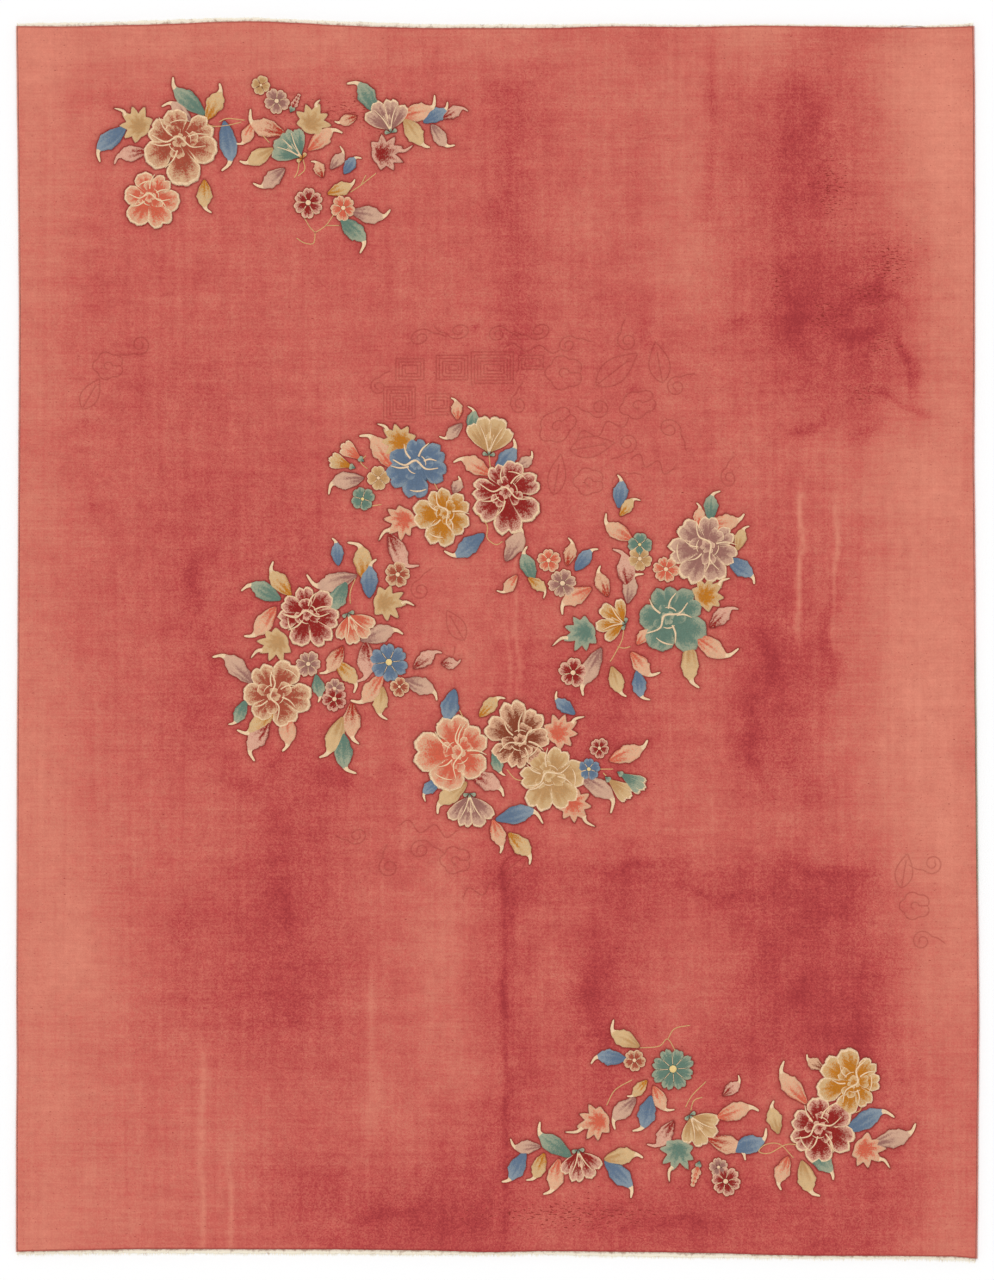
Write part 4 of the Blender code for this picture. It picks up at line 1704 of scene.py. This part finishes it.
def overcast_tree():
    """Yarn wrapped round and round a core that follows the given line."""
    tree, start, end = geometry_tree("overcast_side", (
        ("Core Radius", "NodeSocketFloat", 0.0023), ("Wrap Radius", "NodeSocketFloat", 0.0022),
        ("Yarn Radius", "NodeSocketFloat", 0.0009), ("Spacing", "NodeSocketFloat", 0.0038),
        ("Lean", "NodeSocketFloat", 0.22), ("Seed", "NodeSocketInt", 3),
        ("Wool", "NodeSocketMaterial", None)))
    given = start.outputs
    core_line = add_node(tree, "GeometryNodeResampleCurve", {"Curve": given["Geometry"], "Length": 0.03},
                         mode="LENGTH")
    core = add_node(tree, "GeometryNodeCurveToMesh", {
        "Curve": core_line.outputs[0], "Profile Curve": circle(tree, 10, given["Core Radius"]),
        "Fill Caps": True})
    wrap = add_node(tree, "GeometryNodeCurveToMesh", {
        "Curve": circle(tree, 12, given["Wrap Radius"]),
        "Profile Curve": circle(tree, 5, given["Yarn Radius"])})
    tilt = reckon(tree, "ADD", given["Lean"], lot(tree, -0.07, 0.07, given["Seed"]))
    euler = add_node(tree, "ShaderNodeCombineXYZ", {"X": QUARTER_TURN, "Z": tilt})
    put = add_node(tree, "GeometryNodeInstanceOnPoints", {
        "Points": stations(tree, start), "Instance": wrap.outputs[0], "Rotation": euler.outputs[0]})
    both = tree.nodes.new("GeometryNodeJoinGeometry")
    tree.links.new(core.outputs[0], both.inputs[0])
    tree.links.new(put.outputs[0], both.inputs[0])
    return finish_tree(tree, end, both.outputs[0], given["Wool"])


def warp_end_tree():
    """Short cut warp ends that stick out along the given line, each turned and sized a little differently."""
    tree, start, end = geometry_tree("warp_ends", (
        ("Spacing", "NodeSocketFloat", 0.0031), ("Length", "NodeSocketFloat", 0.005),
        ("Radius", "NodeSocketFloat", 0.0009), ("Way", "NodeSocketFloat", 1.0),
        ("Seed", "NodeSocketInt", 5), ("Cotton", "NodeSocketMaterial", None)))
    given = start.outputs
    tuft = add_node(tree, "GeometryNodeMeshCone", {
        "Vertices": 5, "Side Segments": 2, "Radius Top": 0.0003, "Radius Bottom": given["Radius"],
        "Depth": given["Length"]}, fill_type="NGON")
    size = lot(tree, 0.55, 1.35, reckon(tree, "ADD", given["Seed"], 9))
    lay = reckon(tree, "MULTIPLY", given["Way"], -QUARTER_TURN)
    euler = add_node(tree, "ShaderNodeCombineXYZ", {"X": lay, "Z": lot(tree, -0.5, 0.5, given["Seed"])})
    grow = add_node(tree, "ShaderNodeCombineXYZ", {"X": 1.0, "Y": 1.0, "Z": size})
    put = add_node(tree, "GeometryNodeInstanceOnPoints", {
        "Points": stations(tree, start), "Instance": tuft.outputs["Mesh"], "Rotation": euler.outputs[0],
        "Scale": grow.outputs[0]})
    return finish_tree(tree, end, put.outputs[0], given["Cotton"])


def grown(name, run, height, tree, values):
    """A plain mesh made by a Geometry Nodes tree along a line at one height."""
    curve = bpy.data.curves.new(name + "_line", "CURVE")
    curve.dimensions = "3D"
    spline = curve.splines.new("POLY")
    spline.points.add(len(run) - 1)
    for point, (x, y) in zip(spline.points, run):
        point.co = (x, y, height, 1.0)
    line = linked(name + "_line", curve)
    grow = line.modifiers.new("grow", "NODES")
    grow.node_group = tree
    sockets = {item.name: item.identifier for item in tree.interface.items_tree
               if item.item_type == "SOCKET" and item.in_out == "INPUT"}
    for label, value in values.items():
        grow[sockets[label]] = value
    evaluated = line.evaluated_get(bpy.context.evaluated_depsgraph_get())
    mesh = bpy.data.meshes.new_from_object(evaluated)
    line.modifiers.clear()
    bpy.data.objects.remove(line)
    while None in list(mesh.materials):
        mesh.materials.pop(index=list(mesh.materials).index(None))
    mesh.name = name
    return linked(name, mesh)


def web_mesh(name, node, way):
    """A plain-woven cotton strip with ribbed wefts and an uneven outer border."""
    xs, low, high = web_run(node)
    outer, inner = (high, low) if way > 0 else (low, high)
    x = np.arange(xs[0] + 0.004, xs[-1] - 0.004, 0.004)
    inside = np.interp(x, xs, inner) - way * 0.0005
    woven = 0.88 if way > 0 else 0.84
    edge = inside + (np.interp(x, xs, outer) - inside) * woven
    ripple = 0.0007 * np.sin(x * 61.0) + 0.0005 * np.sin(x * 173.0 + 1.0) + 0.0004 * np.sin(x * 411.0)
    edge = edge + way * ripple
    shares = np.linspace(0.0, 1.0, 9)
    y = inside[:, None] * (1 - shares) + edge[:, None] * shares
    top = 0.0019 + 0.0003 * np.cos(shares * 8 * math.pi)[None, :] + 0.0001 * np.sin(x * 900.0)[:, None]
    top[:, 0] = 0.0018
    top[:, -1] = 0.0009
    rows, columns = y.shape
    across_it = np.repeat(x[:, None], columns, axis=1)
    upper = np.dstack([across_it, y, top]).reshape(-1, 3)
    under = np.dstack([across_it, y, np.zeros_like(y)]).reshape(-1, 3)
    index = np.arange(rows * columns).reshape(rows, columns)
    faces = [quads(index), quads(index + rows * columns)[:, ::-1]]
    loop = np.concatenate([index[:-1, 0], index[-1, :-1], index[:0:-1, -1], index[0, :0:-1]])
    after = np.roll(loop, -1)
    faces.append(np.stack([loop + rows * columns, after + rows * columns, after, loop], axis=1))
    if way < 0:
        faces = [block[:, ::-1] for block in faces]
    mesh = bpy.data.meshes.new(name)
    fill_mesh(mesh, np.concatenate([upper, under]), faces)
    set_share(mesh, "near_pile", np.tile(np.clip(1.0 - 1.5 * shares, 0.0, 1.0), 2 * rows))
    return linked(name, mesh), np.stack([x, edge - way * 0.0012], axis=1)


# ---------------------------------------------------------------- settings


def wool_colour(label, text, code):
    """A colour setting with its default from a dye's hex code."""
    DYES[label] = code
    return bpy.props.FloatVectorProperty(
        name=text, description=text + " of the wool as it looks now", subtype="COLOR",
        size=3, min=0.0, max=1.0, default=linear(label)[:3])


def length(text, meaning, value, low, high):
    """A length setting in metres."""
    return bpy.props.FloatProperty(name=text, description=meaning, default=value, min=low, max=high,
                                   unit="LENGTH", precision=4)


class CarpetSizes(bpy.types.PropertyGroup):
    """Sizes of the work that a user may change."""

    motif_rise: length("Motif rise", "How far flowers and leaves stand above the field", 0.0008, 0.0, 0.004)
    groove: length("Groove depth", "Depth of the carved line round each motif", 0.0016, 0.0, 0.005)
    wrap_spacing: length("Wrap spacing", "Distance between turns of the overcasting yarn",
                         0.0038, 0.002, 0.01)
    warp_spacing: length("Warp spacing", "Distance between cut warp ends", 0.0031, 0.002, 0.02)
    warp_end: length("Warp end length", "Length of the cut warp ends", 0.005, 0.001, 0.02)


class CarpetDyes(bpy.types.PropertyGroup):
    """Colours of the field, the overcast sides and the cotton."""

    salmon: wool_colour("salmon", "Palest salmon", "#E38D77")
    peachrose: wool_colour("peachrose", "Faded rose", "#D67D6A")
    rose: wool_colour("coralrose", "Rose", "#CA6358")
    abrash: wool_colour("abrash", "Deeper rose", "#B84846")
    deep_rose: wool_colour("deeprose", "Deepest rose", "#A2373A")
    # The carved-line colour is mostly painted shade in the grooves and at the pile's ends; it also colours
    # the real dark single knots and runs of low knots.
    carved: wool_colour("carved", "Carved lines", "#8E2F2A")
    left_cord: wool_colour("leftcord", "Left overcasting", "#D9A292")
    right_cord: wool_colour("rightcord", "Right overcasting", "#D6978A")
    right_patch: wool_colour("rightpatch", "Mended stretch of the right overcasting", "#A99C86")
    cotton: wool_colour("cotton", "Cotton", "#FAF2DE")
    soiled: wool_colour("soiled", "Soiled cotton", "#AD8873")


# ---------------------------------------------------------------- operators


class CarpetStep(bpy.types.Operator):
    """One step of the making, listed in the panel."""

    bl_options = {"REGISTER", "UNDO"}

    @property
    def sizes(self):
        """The sizes set in the panel."""
        return bpy.context.scene.carpet_sizes

    @property
    def dyes(self):
        """The dyes set in the panel."""
        return bpy.context.scene.carpet_dyes


class CARPET_OT_sprays(CarpetStep):
    """Work the flower sprays and the wreath a little proud of the field"""

    bl_idname = "carpet.sprays"
    bl_label = "Flower Sprays"

    def execute(self, context):
        """Make one piece of raised wool for each spray."""
        wool = motif_material(self.dyes)
        for name, drawn in drawn_sprays(self.sizes.motif_rise).items():
            piece = drawn.mesh("flowers_" + name)
            piece.data.materials.append(wool)
            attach(piece, BODY)
        return {"FINISHED"}


class CARPET_OT_side_cords(CarpetStep):
    """Overcast the two long sides with wool yarn"""

    bl_idname = "carpet.side_cords"
    bl_label = "Overcast Sides"

    def execute(self, context):
        """Wrap a cord along each side by Geometry Nodes and dye it along its length."""
        tree = overcast_tree()
        for side, seed in (("left", 3), ("right", 8)):
            wool = cord_material(side + "_overcast_wool")
            node = side + "_side_cord"
            piece = grown(side + "_overcasting", cord_run(node), CORD_HEIGHT, tree,
                          {"Spacing": self.sizes.wrap_spacing, "Seed": seed, "Wool": wool})
            self.dye_along(piece.data, side)
            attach(piece, BODY)
            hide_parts(node)
        return {"FINISHED"}

    def dye_along(self, mesh, side):
        """Colour the yarn along the side: plain on the left, mended on the right."""
        y = mesh_points(mesh)[:, 1]
        if side == "left":
            share = 0.5 + 0.5 * np.sin(y * 3.1 + 0.8 * np.sin(y * 7.0))
            first, second = np.array(self.dyes.left_cord), np.array(self.dyes.rose) * 0.8 + 0.06
            share = 0.25 * share
        else:
            share = smooth(-0.80, -0.66, y) * (1.0 - smooth(-0.10, 0.02, y))
            first, second = np.array(self.dyes.right_cord), np.array(self.dyes.right_patch)
        colours = first[None, :] * (1 - share[:, None]) + second[None, :] * share[:, None]
        set_colours(mesh, "dye", np.column_stack([colours, np.ones(len(y))]))


class CARPET_OT_end_webs(CarpetStep):
    """Weave the cotton webs at both ends and leave their warps cut short"""

    bl_idname = "carpet.end_webs"
    bl_label = "End Webs"

    def execute(self, context):
        """Make each web as a ribbed strip and set its warp ends by Geometry Nodes."""
        cotton = cotton_material(self.dyes)
        tree = warp_end_tree()
        for end, way in (("top", 1.0), ("bottom", -1.0)):
            node = end + "_end_web"
            web, line = web_mesh(end + "_web_weave", node, way)
            web.data.materials.append(cotton)
            ends = grown(end + "_warp_ends", line, WARP_HEIGHT, tree,
                         {"Spacing": self.sizes.warp_spacing, "Way": way,
                          "Length": self.sizes.warp_end * (0.7 if way > 0 else 1.4),
                          "Seed": 5 if way > 0 else 6, "Cotton": cotton})
            for piece in (web, ends):
                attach(piece, BODY)
            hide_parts(node)
        return {"FINISHED"}


class CARPET_OT_pile(CarpetStep):
    """Shear the rose field and carve its lines"""

    bl_idname = "carpet.pile"
    bl_label = "Carved Field"

    def execute(self, context):
        """Make the field as one closed carved sheet, laid on the floor with its pieces."""
        piece = pile_mesh(self.sizes)
        piece.data.materials.append(field_material(self.dyes))
        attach(piece, BODY)
        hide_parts("pile")
        return {"FINISHED"}


class CARPET_OT_stage(CarpetStep):
    """Set a pale floor, soft studio light and the camera straight above"""

    bl_idname = "carpet.stage"
    bl_label = "Stage"

    def execute(self, context):
        """Make the floor, world, lights and camera."""
        scene = context.scene
        mesh = bpy.data.meshes.new("floor")
        corners = [(x * FLOOR_HALF, y * FLOOR_HALF, FLOOR_DROP)
                   for x, y in ((-1, -1), (1, -1), (1, 1), (-1, 1))]
        mesh.from_pydata(corners, [], [(0, 1, 2, 3)])
        floor = linked("floor", mesh)
        material, _, shader = new_material("studio_floor")
        shader.inputs["Base Color"].default_value = (1.0, 1.0, 1.0, 1.0)
        shader.inputs["Roughness"].default_value = 0.9
        shader.inputs["Specular IOR Level"].default_value = 0.1
        mesh.materials.append(material)
        world = bpy.data.worlds.new("studio")
        scene.world = world
        world.use_nodes = True
        background = world.node_tree.nodes["Background"]
        background.inputs["Color"].default_value = (1.0, 1.0, 1.0, 1.0)
        background.inputs["Strength"].default_value = STUDIO_GLOW
        self.soft_light("key", (-3.4, 4.2, 7.5), 40.0, 0.76)
        self.soft_light("fill", (3.8, -3.2, 8.0), 60.0, 0.18)
        data = bpy.data.cameras.new("camera")
        data.lens = CAMERA_LENS
        data.sensor_width = 36.0
        data.sensor_fit = "AUTO"
        data.clip_end = 500.0
        camera = linked("camera", data)
        camera.location = CAMERA_PLACE
        scene.camera = camera
        scene.view_settings.view_transform = "Standard"
        return {"FINISHED"}

    def soft_light(self, name, place, spread, strength):
        """A far and very soft light that falls evenly over the whole carpet from one side."""
        data = bpy.data.lights.new(name, "SUN")
        data.angle = math.radians(spread)
        data.energy = strength
        light = linked(name, data)
        light.location = place
        light.rotation_euler = (-Vector(place)).to_track_quat("-Z", "Y").to_euler()


class CARPET_PT_panel(bpy.types.Panel):
    """The steps and settings of the carpet"""

    bl_label = "Carpet"
    bl_idname = "CARPET_PT_panel"
    bl_space_type = "VIEW_3D"
    bl_region_type = "UI"
    bl_category = "Carpet"

    def draw(self, context):
        """List the settings and then the steps in their order."""
        for group in (context.scene.carpet_sizes, context.scene.carpet_dyes):
            for label in group.__annotations__:
                self.layout.prop(group, label)
        for step in STEPS:
            self.layout.operator(step.bl_idname)


STEPS = (CARPET_OT_stage, CARPET_OT_sprays, CARPET_OT_side_cords, CARPET_OT_end_webs, CARPET_OT_pile)
CLASSES = (CarpetSizes, CarpetDyes, *STEPS, CARPET_PT_panel)


def register():
    """Register the classes and hang the settings on the scene."""
    for item in CLASSES:
        bpy.utils.register_class(item)
    bpy.types.Scene.carpet_sizes = bpy.props.PointerProperty(type=CarpetSizes)
    bpy.types.Scene.carpet_dyes = bpy.props.PointerProperty(type=CarpetDyes)


def unregister():
    """Take the settings and classes away again."""
    del bpy.types.Scene.carpet_dyes
    del bpy.types.Scene.carpet_sizes
    for item in reversed(CLASSES):
        bpy.utils.unregister_class(item)


def main():
    """Make the whole carpet."""
    register()
    for step in STEPS:
        group, name = step.bl_idname.split(".")
        getattr(getattr(bpy.ops, group), name)()
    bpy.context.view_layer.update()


if __name__ == "__main__":
    main()
